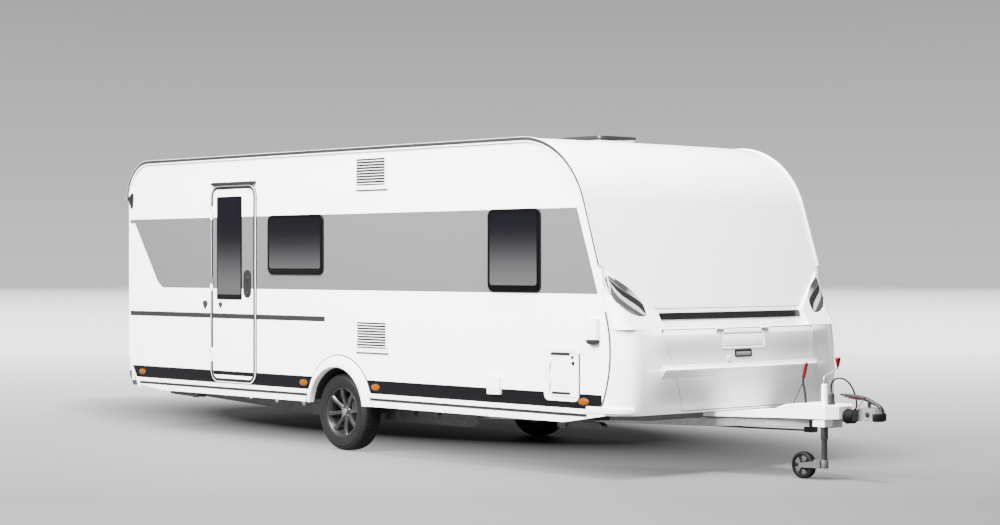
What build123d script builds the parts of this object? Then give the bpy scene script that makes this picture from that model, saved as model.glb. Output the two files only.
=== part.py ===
from build123d import *
from math import asin, cos, degrees, radians, sin, sqrt
import os

# Travel caravan, millimetres: +X to the coupling, +Z up, the floor under the tyres at Z = 0.

# Body
HALF = 1250.0
WALL = 34.0
ROOF_Z = 2545.0
ROOF_T = 36.0
FLOOR_Z = 420.0
FLOOR_T = 46.0
REAR_X = -3960.0
REAR_CUT_Z = 720.0
REAR_CUT_X = -3800.0
REAR_R = 345.0
PANEL_GAP = 0.2

# Front: a slant of RAKE degrees under an arc, and the seam where the nose starts
NOSE_X = 2660.0
SHELF_Z = 1102.0
RAKE = 18.0
FRONT_R = 715.0
SLANT_FOOT_X = NOSE_X - 73.6
SEAM_TOP_Z = 1570.0
SEAM_MID_Z = 1243.0
SEAM_R = 950.0
SEAM_X = NOSE_X - 185.0
SEAM_Z = 930.0
BOW_R = 15000.0
BOW_SAG = BOW_R - sqrt(BOW_R**2 - HALF**2)
PANEL_SLANT = cos(radians(RAKE)) * SLANT_FOOT_X + sin(radians(RAKE)) * SHELF_Z
PANEL_ARC_X = (PANEL_SLANT - FRONT_R - sin(radians(RAKE)) * (ROOF_Z - FRONT_R)) / cos(radians(RAKE))
WALL_ARC_X = PANEL_ARC_X - BOW_SAG
PANEL_T = 34.0
PANEL_JOIN_X = PANEL_ARC_X - 148.0
NOSE_MID_X = NOSE_X + 31.0
NOSE_MID_Z = 800.0
NOSE_LOW_X = NOSE_X + 12.0
NOSE_LOW_Z = 470.0
NOSE_CORNER_R = 168.0
NOSE_T = 26.0
RIDGE_Z = 797.0
RIDGE_PROUD = 15.0
SKIRT_LOW_Z = 400.0
RISE_X = NOSE_X - 660.0
RISE = 0.15
POD_MID_X = NOSE_X - 55.0
POD_MID_Z = 1198.0
POD_TOP_X = NOSE_X - 215.0
POD_TOP_Z = 1600.0
POD_CORNER_R = 105.0
POD_V_Y = HALF - 409.0
POD_V_Z = 1226.0
LID_TOP_Y = HALF - 374.0
LID_LOW_Y = HALF - 577.0
LID_LOW_Z = 484.0
LID_GAP = 6.0
LID_DROP = 60.0
LID_BARREL_R = 5.0
BULKHEAD_X = NOSE_X - 370.0
BULKHEAD_T = 24.0

# Running gear
AXLE_X = -750.0
TYRE_R = 327.0
TYRE_W = 195.0
TYRE_Y = HALF - 142.0
RIM_R = 207.0
STUB_R = 22.0
AXLE_BEAM_X = AXLE_X + 170.0
AXLE_BEAM_Z = 318.0
AXLE_BEAM_R = 58.0
DRUM_R = 118.0
RUN_GAP = 0.05
HINGE_GAP = 0.2
BODY_GAP = 0.3
ARCH_R = 362.0
ARCH_RIM = 62.0
ARCH_Z = 345.0
ARCH_PROUD = 30.0

# Chassis
RAIL_Y = HALF - 370.0
RAIL_LOW_Z = 255.0
RAIL_T = 5.0
RAIL_W = 50.0
ARM_REAR_X = 400.0
ARM_REAR_Y = RAIL_Y - 63.0
ARM_FRONT_X = NOSE_X + 740.0
ARM_FRONT_Y = 82.0
ARM_LOW_Z = 325.0
ARM_TOP_Z = 412.0
ARM_BEND_X = NOSE_X - 85.0
ARM_BEND_LOW_Z = 352.0
ARM_LEVEL_X = ARM_FRONT_X - 170.0
ARM_FRONT_LOW_Z = 382.0
ARM_FRONT_TOP_Z = 438.0
ARM_W = 46.0

# Hitch
BALL_X = NOSE_X + 1250.0
BALL_Z = 470.0
BALL_R = 25.0
BALL_GAP = 0.15
SOCKET_DEEP = 26.0
TIP_X = BALL_X + 90.0
TUBE_Z = 470.0
TUBE_R = 30.0

# Jockey wheel
JOCKEY_X = NOSE_X + 885.0
JOCKEY_Y = -108.0
JOCKEY_TRAIL = 190.0
JOCKEY_WHEEL_R = 100.0
JOCKEY_WHEEL_W = 58.0
JOCKEY_LEG_R = 22.0
JOCKEY_TUBE_R = 28.0
JOCKEY_TOP_Z = 700.0

# Entry door
DOOR_X0 = -2551.0
DOOR_X1 = -1936.0
DOOR_Z0 = 550.0
DOOR_Z1 = ROOF_Z - 295.0
DOOR_R = 70.0
DOOR_GAP = 6.0
DOOR_RIM = 32.0
DOOR_T = 36.0
DOOR_PROUD = 8.0
DOOR_AXIS_OUT = 20.0
DOOR_BARREL_R = 8.0

# Service hatch
HATCH_X0 = SEAM_X - 629.0
HATCH_X1 = SEAM_X - 329.0
HATCH_Z0 = 586.0
HATCH_Z1 = 920.0
HATCH_T = 22.0
HATCH_AXIS_OUT = 16.0
HATCH_BARREL_R = 6.0

# Corner steadies
STEADY_LEN = 430.0
STEADY_Z = 360.0
STEADY_PIN_R = 9.0

NARROW = HALF - WALL - PANEL_GAP

os.makedirs("parts", exist_ok=True)


def save(part, label):
    """Names the solid or solids and writes them to parts/label.step."""
    part.label = label
    export_step(part, "parts/" + label + ".step")


def slant_x(offset, z):
    """X of the front slant at height z, where offset is its distance from the origin along its normal."""
    return (offset - sin(radians(RAKE)) * z) / cos(radians(RAKE))


WALL_SLANT = cos(radians(RAKE)) * WALL_ARC_X + sin(radians(RAKE)) * (ROOF_Z - FRONT_R) + FRONT_R


def seam_x(z):
    """X of the seam between side wall and nose at height z."""
    return SEAM_X - SEAM_R + sqrt(SEAM_R**2 - (z - SEAM_Z) ** 2)


def rise_z(x):
    """Z of the body's lower edge, which rises towards the nose in front of RISE_X."""
    return SKIRT_LOW_Z + RISE * max(x - RISE_X, 0.0)


def wall_face():
    """The side wall's outline in the XZ plane, without openings."""
    seam_low = (seam_x(NOSE_LOW_Z), NOSE_LOW_Z)
    rise_start = (RISE_X + (FLOOR_Z - SKIRT_LOW_Z) / RISE, FLOOR_Z)
    seam_nose = (SEAM_X, SEAM_Z)
    seam_mid = (seam_x(SEAM_MID_Z), SEAM_MID_Z)
    seam_top = (slant_x(WALL_SLANT, SEAM_TOP_Z), SEAM_TOP_Z)
    arc_low = (
        WALL_ARC_X + FRONT_R * cos(radians(RAKE)),
        ROOF_Z - FRONT_R + FRONT_R * sin(radians(RAKE)),
    )
    rear_arc_low = (REAR_X, ROOF_Z - REAR_R)
    with BuildSketch() as face:
        with BuildLine():
            Polyline(seam_low, rise_start, (REAR_CUT_X, FLOOR_Z), (REAR_X, REAR_CUT_Z), rear_arc_low)
            CenterArc((REAR_X + REAR_R, ROOF_Z - REAR_R), REAR_R, 90, 90)
            Line((REAR_X + REAR_R, ROOF_Z), (WALL_ARC_X, ROOF_Z))
            CenterArc((WALL_ARC_X, ROOF_Z - FRONT_R), FRONT_R, RAKE, 90 - RAKE)
            Polyline(arc_low, seam_top, seam_mid)
            ThreePointArc(seam_mid, seam_nose, seam_low)
        make_face()
    return face.sketch


def side_plane(side, out=0.0):
    """The XZ plane at a distance out from a side wall's outer face; side is 1 right, -1 left."""
    return Plane.XZ.offset(side * (HALF + out))


SIDES = ((1, "right"), (-1, "left"))

WINDOW_TOP_Z = ROOF_Z - 541.0
WINDOW_LOW_Z = ROOF_Z - 1055.0
BAY_LOW_Z = ROOF_Z - 1179.0
# Windows: side, x0, x1, z0, z1
WINDOWS = (
    (1, -1713.0, -927.0, WINDOW_LOW_Z, WINDOW_TOP_Z),
    (1, SEAM_X - 1316.0, SEAM_X - 730.0, BAY_LOW_Z, WINDOW_TOP_Z),
    (-1, SEAM_X - 1316.0, SEAM_X - 730.0, BAY_LOW_Z, WINDOW_TOP_Z),
    (-1, -700.0, 300.0, WINDOW_LOW_Z, WINDOW_TOP_Z),
    (-1, -3000.0, -2214.0, WINDOW_LOW_Z, WINDOW_TOP_Z),
)
WINDOW_R = 55.0
WINDOW_RIM = 26.0
WINDOW_PROUD = 14.0
REAR_WINDOW = (-480.0, 480.0, WINDOW_LOW_Z - 10.0, WINDOW_TOP_Z - 14.0)

# Vents on the right wall: x0, x1, z0, z1
VENTS = (
    (-506.0, -90.0, ROOF_Z - 355.0, ROOF_Z - 90.0),
    (-500.0, -83.0, 850.0, 1113.0),
)
VENT_PROUD = 16.0
VENT_SLOTS = 7


def box_sketch(x0, x1, z0, z1, grow=0.0, corner=0.0):
    """A rectangle from its edges, grown on all sides and with round corners where corner is over zero."""
    with BuildSketch() as face:
        with Locations(((x0 + x1) / 2, (z0 + z1) / 2)):
            if corner > 0:
                RectangleRounded(x1 - x0 + 2 * grow, z1 - z0 + 2 * grow, corner)
            else:
                Rectangle(x1 - x0 + 2 * grow, z1 - z0 + 2 * grow)
    return face.sketch


# Side walls, with the door, windows, hatch and wheel arch cut out
for side, name in SIDES:
    with BuildPart() as wall:
        with BuildSketch(side_plane(side)):
            add(wall_face())
        extrude(amount=-side * WALL)
        with BuildSketch(side_plane(side, 10)):
            with Locations((AXLE_X, ARCH_Z)):
                Circle(ARCH_R)
            with Locations((AXLE_X, ARCH_Z - ARCH_R / 2)):
                Rectangle(2 * ARCH_R, ARCH_R)
            for row_side, x0, x1, z0, z1 in WINDOWS:
                if row_side == side:
                    add(box_sketch(x0, x1, z0, z1, -WINDOW_RIM, WINDOW_R - WINDOW_RIM))
            if side > 0:
                add(box_sketch(DOOR_X0, DOOR_X1, DOOR_Z0, DOOR_Z1, DOOR_GAP, DOOR_R + DOOR_GAP))
                add(box_sketch(HATCH_X0, HATCH_X1, HATCH_Z0, HATCH_Z1, 0.0, 30.0))
        extrude(amount=-side * (WALL + 20), mode=Mode.SUBTRACT)
    save(wall.part, "side_wall_" + name)

# Floor, between the walls, with the wheel housings left out
HOUSING_Y = HALF - 305.0
with BuildPart() as floor:
    with BuildSketch(Plane.XY.offset(FLOOR_Z)):
        with BuildLine():
            Polyline(
                (REAR_CUT_X + 30, -NARROW),
                (BULKHEAD_X, -NARROW),
                (BULKHEAD_X, 170 - HALF),
                (NOSE_X - 100, 350 - HALF),
                (NOSE_X - 100, HALF - 350),
                (BULKHEAD_X, HALF - 170),
                (BULKHEAD_X, NARROW),
                (REAR_CUT_X + 30, NARROW),
                close=True,
            )
        make_face()
        with Locations(
            (AXLE_X, (HOUSING_Y + HALF) / 2),
            (AXLE_X, -(HOUSING_Y + HALF) / 2),
        ):
            Rectangle(2 * ARCH_R + 24, HALF - HOUSING_Y + 2, mode=Mode.SUBTRACT)
    extrude(amount=FLOOR_T)
save(floor.part, "floor_panel")

# Wheel housings: a half drum over each tyre, closed on its inner side
with BuildPart() as housings:
    for side, name in SIDES:
        with BuildSketch(side_plane(side, -WALL - PANEL_GAP)):
            with Locations((AXLE_X, ARCH_Z)):
                Circle(ARCH_R + 10)
            with Locations((AXLE_X, ARCH_Z - 200)):
                Rectangle(2 * ARCH_R + 20, 400)
        extrude(amount=-side * (HALF - WALL - HOUSING_Y))
        with BuildSketch(side_plane(side, -WALL - PANEL_GAP)):
            with Locations((AXLE_X, ARCH_Z)):
                Circle(ARCH_R)
            with Locations((AXLE_X, ARCH_Z - 200)):
                Rectangle(2 * ARCH_R, 400)
        extrude(amount=-side * (HALF - WALL - HOUSING_Y - 10), mode=Mode.SUBTRACT)
    split(bisect_by=Plane.XY.offset(FLOOR_Z), keep=Keep.TOP)
save(housings.part, "wheel_housings")

# Roof, with the hatch opening
ROOF_HATCH_X = PANEL_JOIN_X - 320.0
ROOF_HATCH_L = 457.0
ROOF_HATCH_W = 420.0
ROOF_HATCH_UP = 86.0
with BuildPart() as roof:
    with BuildSketch(Plane.XY.offset(ROOF_Z - ROOF_T)):
        with Locations(((REAR_X + REAR_R + PANEL_JOIN_X) / 2, 0)):
            Rectangle(PANEL_JOIN_X - REAR_X - REAR_R - 2 * PANEL_GAP, 2 * NARROW)
        with Locations((ROOF_HATCH_X, 0)):
            RectangleRounded(ROOF_HATCH_L - 60, ROOF_HATCH_W - 60, 30, mode=Mode.SUBTRACT)
    extrude(amount=ROOF_T)
save(roof.part, "roof_panel")

# Rooflight: a flange, an upstand and a domed lid
with BuildPart() as rooflight:
    with BuildSketch(Plane.XY.offset(ROOF_Z)):
        with Locations((ROOF_HATCH_X, 0)):
            RectangleRounded(ROOF_HATCH_L, ROOF_HATCH_W, 45)
            RectangleRounded(ROOF_HATCH_L - 70, ROOF_HATCH_W - 70, 25, mode=Mode.SUBTRACT)
    extrude(amount=ROOF_HATCH_UP * 0.45)
    with BuildSketch(Plane.XY.offset(ROOF_Z + ROOF_HATCH_UP * 0.45)):
        with Locations((ROOF_HATCH_X, 0)):
            RectangleRounded(ROOF_HATCH_L - 20, ROOF_HATCH_W - 20, 45)
    extrude(amount=ROOF_HATCH_UP * 0.55, taper=14)
save(rooflight.part, "rooflight")

# Rear wall: upright and then round to the roof, with its window
with BuildPart() as rear:
    with BuildSketch(Plane.XZ.offset(-NARROW)):
        with BuildLine():
            Line((REAR_X, 470), (REAR_X, ROOF_Z - REAR_R))
            CenterArc((REAR_X + REAR_R, ROOF_Z - REAR_R), REAR_R, 90, 90)
            Line((REAR_X + REAR_R, ROOF_Z), (REAR_X + REAR_R, ROOF_Z - ROOF_T))
            CenterArc((REAR_X + REAR_R, ROOF_Z - REAR_R), REAR_R - ROOF_T, 90, 90)
            Polyline((REAR_X + ROOF_T, ROOF_Z - REAR_R), (REAR_X + ROOF_T, 470), (REAR_X, 470))
        make_face()
    extrude(amount=2 * NARROW)
    with BuildSketch(Plane.YZ.offset(REAR_X - 10)):
        add(box_sketch(*REAR_WINDOW, -WINDOW_RIM, WINDOW_R - WINDOW_RIM))
    extrude(amount=ROOF_T + 20, mode=Mode.SUBTRACT)
save(rear.part, "rear_wall")


def bowed(points, arcs, corner, half=HALF):
    """A block from an XZ profile turned about a far upright axis, cut to width, its front corners round.

    points are the profile's corners in order; arcs maps an edge's number to a point on the edge.
    """
    axis = Axis((NOSE_X - BOW_R, 0, 0), (0, 0, 1))
    turn = degrees(asin(HALF / BOW_R)) + 1.0
    count = len(points)
    with BuildPart() as block:
        with BuildSketch(Plane.XZ):
            with BuildLine():
                for number in range(count):
                    start = points[number]
                    end = points[(number + 1) % count]
                    if number in arcs:
                        ThreePointArc(start, arcs[number], end)
                    else:
                        Line(start, end)
            make_face()
        revolve(axis=axis, revolution_arc=2 * turn)
    turned = block.part.rotate(axis, -turn)
    sag = BOW_SAG if corner == 0 else 0.0
    back = max(min(p[0] for p in points) - sag, PANEL_JOIN_X)
    top = max(p[1] for p in points)
    with BuildPart() as trimmed:
        add(turned)
        with BuildSketch(Plane.XY):
            with Locations((back + 1500, 0)):
                Rectangle(3000, 2 * half)
        extrude(amount=top + 100, mode=Mode.INTERSECT)
        if corner > 0:
            ends = [
                edge
                for edge in trimmed.edges()
                if abs(abs(edge.center().Y) - half) < 1
                and edge.bounding_box().size.Y < 1
                and edge.center().X > back + 25
                and edge.bounding_box().size.Z > 20
            ]
            fillet(ends, corner)
    return trimmed.part


def panel_profile(inset):
    """The upper front panel's profile, moved in by inset: points, and the arc after the second."""
    radius = FRONT_R - inset
    slant = PANEL_SLANT - inset
    centre_z = ROOF_Z - FRONT_R
    middle = radians((90 + RAKE) / 2)
    points = [
        (PANEL_JOIN_X - 100, ROOF_Z - inset),
        (PANEL_ARC_X, ROOF_Z - inset),
        (PANEL_ARC_X + radius * cos(radians(RAKE)), centre_z + radius * sin(radians(RAKE))),
        (slant_x(slant, SHELF_Z), SHELF_Z),
        (PANEL_JOIN_X - 100, SHELF_Z),
    ]
    arcs = {1: (PANEL_ARC_X + radius * cos(middle), centre_z + radius * sin(middle))}
    return points, arcs


# The wall's place in the front pieces, cut from each of them
with BuildPart() as wall_room:
    for side, name in SIDES:
        with BuildSketch(side_plane(side, 60)):
            add(wall_face())
            offset(amount=PANEL_GAP)
        extrude(amount=-side * (60 + WALL + PANEL_GAP))

outer_points, outer_arcs = panel_profile(0.0)
inner_points, inner_arcs = panel_profile(PANEL_T)
pod_points = [
    (NOSE_X, SHELF_Z),
    (POD_TOP_X, POD_TOP_Z),
    (BULKHEAD_X, POD_TOP_Z),
    (BULKHEAD_X, SHELF_Z),
]
pod_block = bowed(pod_points, {0: (POD_MID_X, POD_MID_Z)}, POD_CORNER_R)
nose_points = [
    (NOSE_LOW_X, NOSE_LOW_Z),
    (NOSE_X, SHELF_Z),
    (BULKHEAD_X - 60, SHELF_Z),
    (BULKHEAD_X - 60, NOSE_LOW_Z),
]
nose_block = bowed(nose_points, {0: (NOSE_MID_X, NOSE_MID_Z)}, NOSE_CORNER_R)
nose_room_points = [
    (NOSE_LOW_X - NOSE_T, NOSE_LOW_Z - 10),
    (NOSE_X - NOSE_T, SHELF_Z - NOSE_T),
    (BULKHEAD_X - 80, SHELF_Z - NOSE_T),
    (BULKHEAD_X - 80, NOSE_LOW_Z - 10),
]
nose_room = bowed(
    nose_room_points,
    {0: (NOSE_MID_X - NOSE_T, NOSE_MID_Z)},
    NOSE_CORNER_R - NOSE_T,
    HALF - NOSE_T,
)


def yz_prism(points, x0, x1):
    """A prism along X from a polygon in the YZ plane."""
    with BuildPart() as prism:
        with BuildSketch(Plane.YZ.offset(x0)):
            with BuildLine():
                Polyline(*points, close=True)
            make_face()
        extrude(amount=x1 - x0)
    return prism.part


# Lamp pods: the corners beside the V, standing on the shelf
FRONT_X0 = NOSE_X - 460.0
FRONT_X1 = NOSE_X + 240.0
pod_outlines = []
for side, name in SIDES:
    pod_outlines.append(
        [
            (-side * POD_V_Y, SHELF_Z),
            (-side * POD_V_Y, POD_V_Z),
            (-side * (HALF + 40), POD_V_Z + (HALF + 40 - POD_V_Y) * 0.82),
            (-side * (HALF + 40), SHELF_Z),
        ]
    )
# Lamp outline: from the upper tip round the lower side to the inner tip
LAMP_TOP = (HALF - 36.0, 1509.0)
LAMP_LOW = (HALF - 100.0, 1240.0)
LAMP_TIP = (HALF - 282.0, 1200.0)
LAMP_UP = (HALF - 140.0, 1392.0)


def lamp_prism(side, grow):
    """The lamp's outline as a prism along X."""
    with BuildPart() as prism:
        with BuildSketch(Plane.YZ.offset(FRONT_X0)):
            with BuildLine():
                top = (-side * LAMP_TOP[0], LAMP_TOP[1])
                tip = (-side * LAMP_TIP[0], LAMP_TIP[1])
                ThreePointArc(top, (-side * LAMP_LOW[0], LAMP_LOW[1]), tip)
                ThreePointArc(tip, (-side * LAMP_UP[0], LAMP_UP[1]), top)
            make_face()
            if grow != 0:
                offset(amount=grow)
        extrude(amount=FRONT_X1 - FRONT_X0)
    return prism.part


with BuildPart() as front_panel:
    add(bowed(outer_points, outer_arcs, 0.0, NARROW))
    add(bowed(inner_points, inner_arcs, 0.0, NARROW + 5), mode=Mode.SUBTRACT)
save(front_panel.part, "front_panel")

panel_room = bowed(outer_points, outer_arcs, 0.0, NARROW + PANEL_GAP)
with BuildPart() as pods:
    for outline in pod_outlines:
        add(pod_block & yz_prism(outline, FRONT_X0, FRONT_X1))
    add(panel_room, mode=Mode.SUBTRACT)
    add(wall_room.part, mode=Mode.SUBTRACT)
    for side, name in SIDES:
        add(lamp_prism(side, 0.0), mode=Mode.SUBTRACT)
save(pods.part, "lamp_pods")

with BuildPart() as lamps:
    for side, name in SIDES:
        add(pod_block & lamp_prism(side, -1.0))
    add(panel_room, mode=Mode.SUBTRACT)
    add(wall_room.part, mode=Mode.SUBTRACT)
save(lamps.part, "front_lamps")

# Black strip across the foot of the slant, between the pods
STRIP_LOW_Z = 1165.0
STRIP_TOP_Z = 1216.0
STRIP_T = 5.0
strip_points = [
    (slant_x(PANEL_SLANT + STRIP_T, STRIP_TOP_Z), STRIP_TOP_Z),
    (slant_x(PANEL_SLANT + STRIP_T, STRIP_LOW_Z), STRIP_LOW_Z),
    (slant_x(PANEL_SLANT + BODY_GAP, STRIP_LOW_Z), STRIP_LOW_Z),
    (slant_x(PANEL_SLANT + BODY_GAP, STRIP_TOP_Z), STRIP_TOP_Z),
]
with BuildPart() as strip:
    add(bowed(strip_points, {}, 0.0, POD_V_Y - 1.0))
save(strip.part, "nose_strip")

# Nose: shell with the lid's opening, and the lid itself
lid_opening = [
    (-LID_TOP_Y, SHELF_Z - LID_GAP),
    (LID_TOP_Y, SHELF_Z - LID_GAP),
    (LID_LOW_Y, LID_LOW_Z),
    (-LID_LOW_Y, LID_LOW_Z),
]
# The lid's upper corners are upright over LID_DROP, as its inner edge swings down by that much
lid_top_z = SHELF_Z - 2 * LID_GAP
lid_taper = (LID_TOP_Y - LID_LOW_Y) / (SHELF_Z - LID_GAP - LID_LOW_Z)
lid_top_y = LID_TOP_Y - LID_GAP - lid_taper * LID_DROP
lid_outline = [
    (-lid_top_y, lid_top_z),
    (lid_top_y, lid_top_z),
    (lid_top_y, lid_top_z - LID_DROP),
    (LID_LOW_Y - LID_GAP, LID_LOW_Z + LID_GAP),
    (-LID_LOW_Y + LID_GAP, LID_LOW_Z + LID_GAP),
    (-lid_top_y, lid_top_z - LID_DROP),
]
LID_AXIS_X = NOSE_X + 9.0
LID_AXIS_Z = SHELF_Z - 1.5 * LID_GAP
LID_HINGES_Y = (-260.0, 260.0)
LID_HINGE_L = 44.0
with BuildPart() as ridge_ends:
    with BuildSketch(Plane.XY):
        with BuildLine():
            Polyline(
                (NOSE_X - 60, 201 - HALF),
                (NOSE_X + 60, 463 - HALF),
                (NOSE_X + 60, HALF - 463),
                (NOSE_X - 60, HALF - 201),
                close=True,
            )
        make_face()
    extrude(amount=SHELF_Z)
ridge_block = bowed(
    [
        (NOSE_MID_X - 40, RIDGE_Z - 237),
        (NOSE_MID_X + RIDGE_PROUD, RIDGE_Z),
        (NOSE_MID_X - 3, RIDGE_Z + 41),
        (NOSE_MID_X - 60, RIDGE_Z + 41),
    ],
    {},
    0.0,
)
with BuildPart() as nose_with_ridge:
    add(nose_block)
    add(ridge_block & ridge_ends.part)
nose_form = nose_with_ridge.part
with BuildPart() as nose:
    add(nose_form)
    add(nose_room, mode=Mode.SUBTRACT)
    add(wall_room.part, mode=Mode.SUBTRACT)
    add(yz_prism(lid_opening, BULKHEAD_X + 10, FRONT_X1), mode=Mode.SUBTRACT)
    for y in LID_HINGES_Y:
        with BuildSketch(Plane.XZ.offset(-y)):
            with Locations((LID_AXIS_X, LID_AXIS_Z)):
                Circle(LID_BARREL_R)
            with Locations((LID_AXIS_X - 17, LID_AXIS_Z + 6)):
                Rectangle(34, 6)
        extrude(amount=LID_HINGE_L - HINGE_GAP)
save(nose.part, "nose_panel")

# Lid, hung on short barrels at its outer top edge
lid_room = bowed(
    [
        (NOSE_LOW_X - NOSE_T, NOSE_LOW_Z - 10),
        (NOSE_X - NOSE_T, SHELF_Z + 10),
        (BULKHEAD_X - 80, SHELF_Z + 10),
        (BULKHEAD_X - 80, NOSE_LOW_Z - 10),
    ],
    {0: (NOSE_MID_X - NOSE_T, NOSE_MID_Z)},
    0.0,
)
with BuildPart() as lid:
    add(nose_form & yz_prism(lid_outline, BULKHEAD_X + 10, FRONT_X1))
    add(lid_room, mode=Mode.SUBTRACT)
    for y in LID_HINGES_Y:
        with BuildSketch(Plane.XZ.offset(-y - LID_HINGE_L)):
            with Locations((LID_AXIS_X, LID_AXIS_Z)):
                Circle(LID_BARREL_R)
            with Locations((LID_AXIS_X - 14, LID_AXIS_Z - 9)):
                Rectangle(28, 12)
        extrude(amount=LID_HINGE_L - HINGE_GAP)
save(lid.part, "locker_lid")

# Wall behind the gas locker, up to the nose's top
with BuildPart() as bulkhead:
    with BuildSketch(Plane.XZ.offset(-NARROW + 0.2)):
        with BuildLine():
            Polyline(
                (BULKHEAD_X - BULKHEAD_T, FLOOR_Z + FLOOR_T),
                (BULKHEAD_X, FLOOR_Z + FLOOR_T),
                (BULKHEAD_X, SHELF_Z - NOSE_T),
                (BULKHEAD_X - BULKHEAD_T, SHELF_Z - NOSE_T),
                close=True,
            )
        make_face()
    extrude(amount=2 * (NARROW - 0.2))
save(bulkhead.part, "locker_bulkhead")

# Edge rails over the joint of wall and roof
RAIL_PROUD = 18.0
RAIL_IN = 32.0
RAIL_OVER = 8.0
with BuildPart() as edge_rails:
    for side, name in SIDES:
        with BuildSketch(side_plane(side)):
            add(wall_face())
            offset(amount=RAIL_OVER)
            with BuildSketch(mode=Mode.SUBTRACT):
                add(wall_face())
                offset(amount=-RAIL_IN)
            with Locations(((REAR_X + NOSE_X) / 2, 0)):
                Rectangle(2 * (NOSE_X - REAR_X), 2 * SEAM_TOP_Z, mode=Mode.SUBTRACT)
            with Locations((REAR_X - 500, ROOF_Z - REAR_R - 1000)):
                Rectangle(1000 + REAR_R, 1960, mode=Mode.SUBTRACT)
        extrude(amount=side * RAIL_PROUD)
save(edge_rails.part, "edge_rails")

# Skirts: two profiles a side, before and behind the wheel, with a groove
SKIRT_TOP_Z = 506.0
SKIRT_PROUD = 14.0
SKIRT_REAR_X = REAR_X + 200.0
SKIRT_FRONT_X = SEAM_X - 230.0
SKIRT_ARCH = ARCH_R + ARCH_RIM - 18.0
# points of the lower edges
SKIRTS = (
    ((SKIRT_REAR_X, 440.0), (SKIRT_REAR_X + 380.0, SKIRT_LOW_Z), (AXLE_X - SKIRT_ARCH, SKIRT_LOW_Z)),
    ((AXLE_X + SKIRT_ARCH, SKIRT_LOW_Z), (RISE_X, SKIRT_LOW_Z), (SKIRT_FRONT_X, rise_z(SKIRT_FRONT_X))),
)
with BuildPart() as skirts:
    for side, name in SIDES:
        for lower in SKIRTS:
            x0 = lower[0][0]
            x1 = lower[-1][0]
            with BuildSketch(side_plane(side)):
                with BuildLine():
                    Polyline(*lower, (x1, SKIRT_TOP_Z), (x0, SKIRT_TOP_Z), close=True)
                make_face()
            extrude(amount=side * SKIRT_PROUD)
            with BuildSketch(side_plane(side, SKIRT_PROUD)):
                with Locations(((x0 + x1) / 2, 461)):
                    Rectangle(x1 - x0 + 20, 12)
            extrude(amount=-side * 8, mode=Mode.SUBTRACT)
        with BuildSketch(side_plane(side, -10)):
            with Locations((AXLE_X, ARCH_Z)):
                Circle(ARCH_R + ARCH_RIM + BODY_GAP)
        extrude(amount=side * 40, mode=Mode.SUBTRACT)
save(skirts.part, "side_skirts")

# Corner caps: a wedge that ends the skirt, and over it a grip bar round the nose's lower corner
CAP_X0 = SKIRT_FRONT_X + BODY_GAP
CAP_X1 = NOSE_LOW_X - BOW_SAG - NOSE_CORNER_R - 12.0
BAR_LOW_Z = NOSE_LOW_Z + 14.0
BAR_TOP_Z = NOSE_LOW_Z + 60.0
BAR_PROUD = 20.0
BAR_END_Y = HALF - 84.0
bar_nose_x = NOSE_LOW_X + 8.0
with BuildPart() as corner_caps:
    with BuildSketch(Plane.XY.offset(BAR_LOW_Z)):
        for out, mode in ((BAR_PROUD, Mode.ADD), (0.0, Mode.SUBTRACT)):
            with BuildSketch(mode=mode) as outline:
                with BuildLine():
                    ThreePointArc(
                        (bar_nose_x - BOW_SAG + out, -HALF - out),
                        (bar_nose_x + out, 0),
                        (bar_nose_x - BOW_SAG + out, HALF + out),
                    )
                    Polyline(
                        (bar_nose_x - BOW_SAG + out, HALF + out),
                        (CAP_X0, HALF + out),
                        (CAP_X0, -HALF - out),
                        (bar_nose_x - BOW_SAG + out, -HALF - out),
                    )
                make_face()
                front = [point for point in outline.vertices() if point.X > CAP_X0 + 10]
                fillet(front, NOSE_CORNER_R + out)
        with Locations((NOSE_X, 0)):
            Rectangle(2 * (NOSE_X - CAP_X0) + 20, 2 * BAR_END_Y, mode=Mode.SUBTRACT)
    extrude(amount=BAR_TOP_Z - BAR_LOW_Z)
    for side, name in SIDES:
        with BuildSketch(side_plane(side)):
            with BuildLine():
                Polyline(
                    (CAP_X0, rise_z(CAP_X0)),
                    (CAP_X1, rise_z(CAP_X1)),
                    (CAP_X1, BAR_LOW_Z),
                    (CAP_X0, BAR_LOW_Z),
                    close=True,
                )
            make_face()
        extrude(amount=side * SKIRT_PROUD)
save(corner_caps.part, "corner_caps")

# Wheel arch trims
with BuildPart() as arches:
    for side, name in SIDES:
        with BuildSketch(side_plane(side)):
            with Locations((AXLE_X, ARCH_Z)):
                Circle(ARCH_R + ARCH_RIM)
                Circle(ARCH_R - 4, mode=Mode.SUBTRACT)
            with Locations((AXLE_X, ARCH_Z - 300)):
                Rectangle(1200, 700, mode=Mode.SUBTRACT)
        extrude(amount=side * ARCH_PROUD)
save(arches.part, "wheel_arch_trims")

# Windows: a frame that clamps the wall and a domed pane in it
with BuildPart() as frames:
    for side, x0, x1, z0, z1 in WINDOWS:
        with BuildSketch(side_plane(side)):
            add(box_sketch(x0, x1, z0, z1, 0.0, WINDOW_R))
            add(box_sketch(x0, x1, z0, z1, -WINDOW_RIM, WINDOW_R - WINDOW_RIM), mode=Mode.SUBTRACT)
        extrude(amount=side * WINDOW_PROUD)
    with BuildSketch(Plane.YZ.offset(REAR_X)):
        add(box_sketch(*REAR_WINDOW, 0.0, WINDOW_R))
        add(box_sketch(*REAR_WINDOW, -WINDOW_RIM, WINDOW_R - WINDOW_RIM), mode=Mode.SUBTRACT)
    extrude(amount=-WINDOW_PROUD)
save(frames.part, "window_frames")

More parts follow.
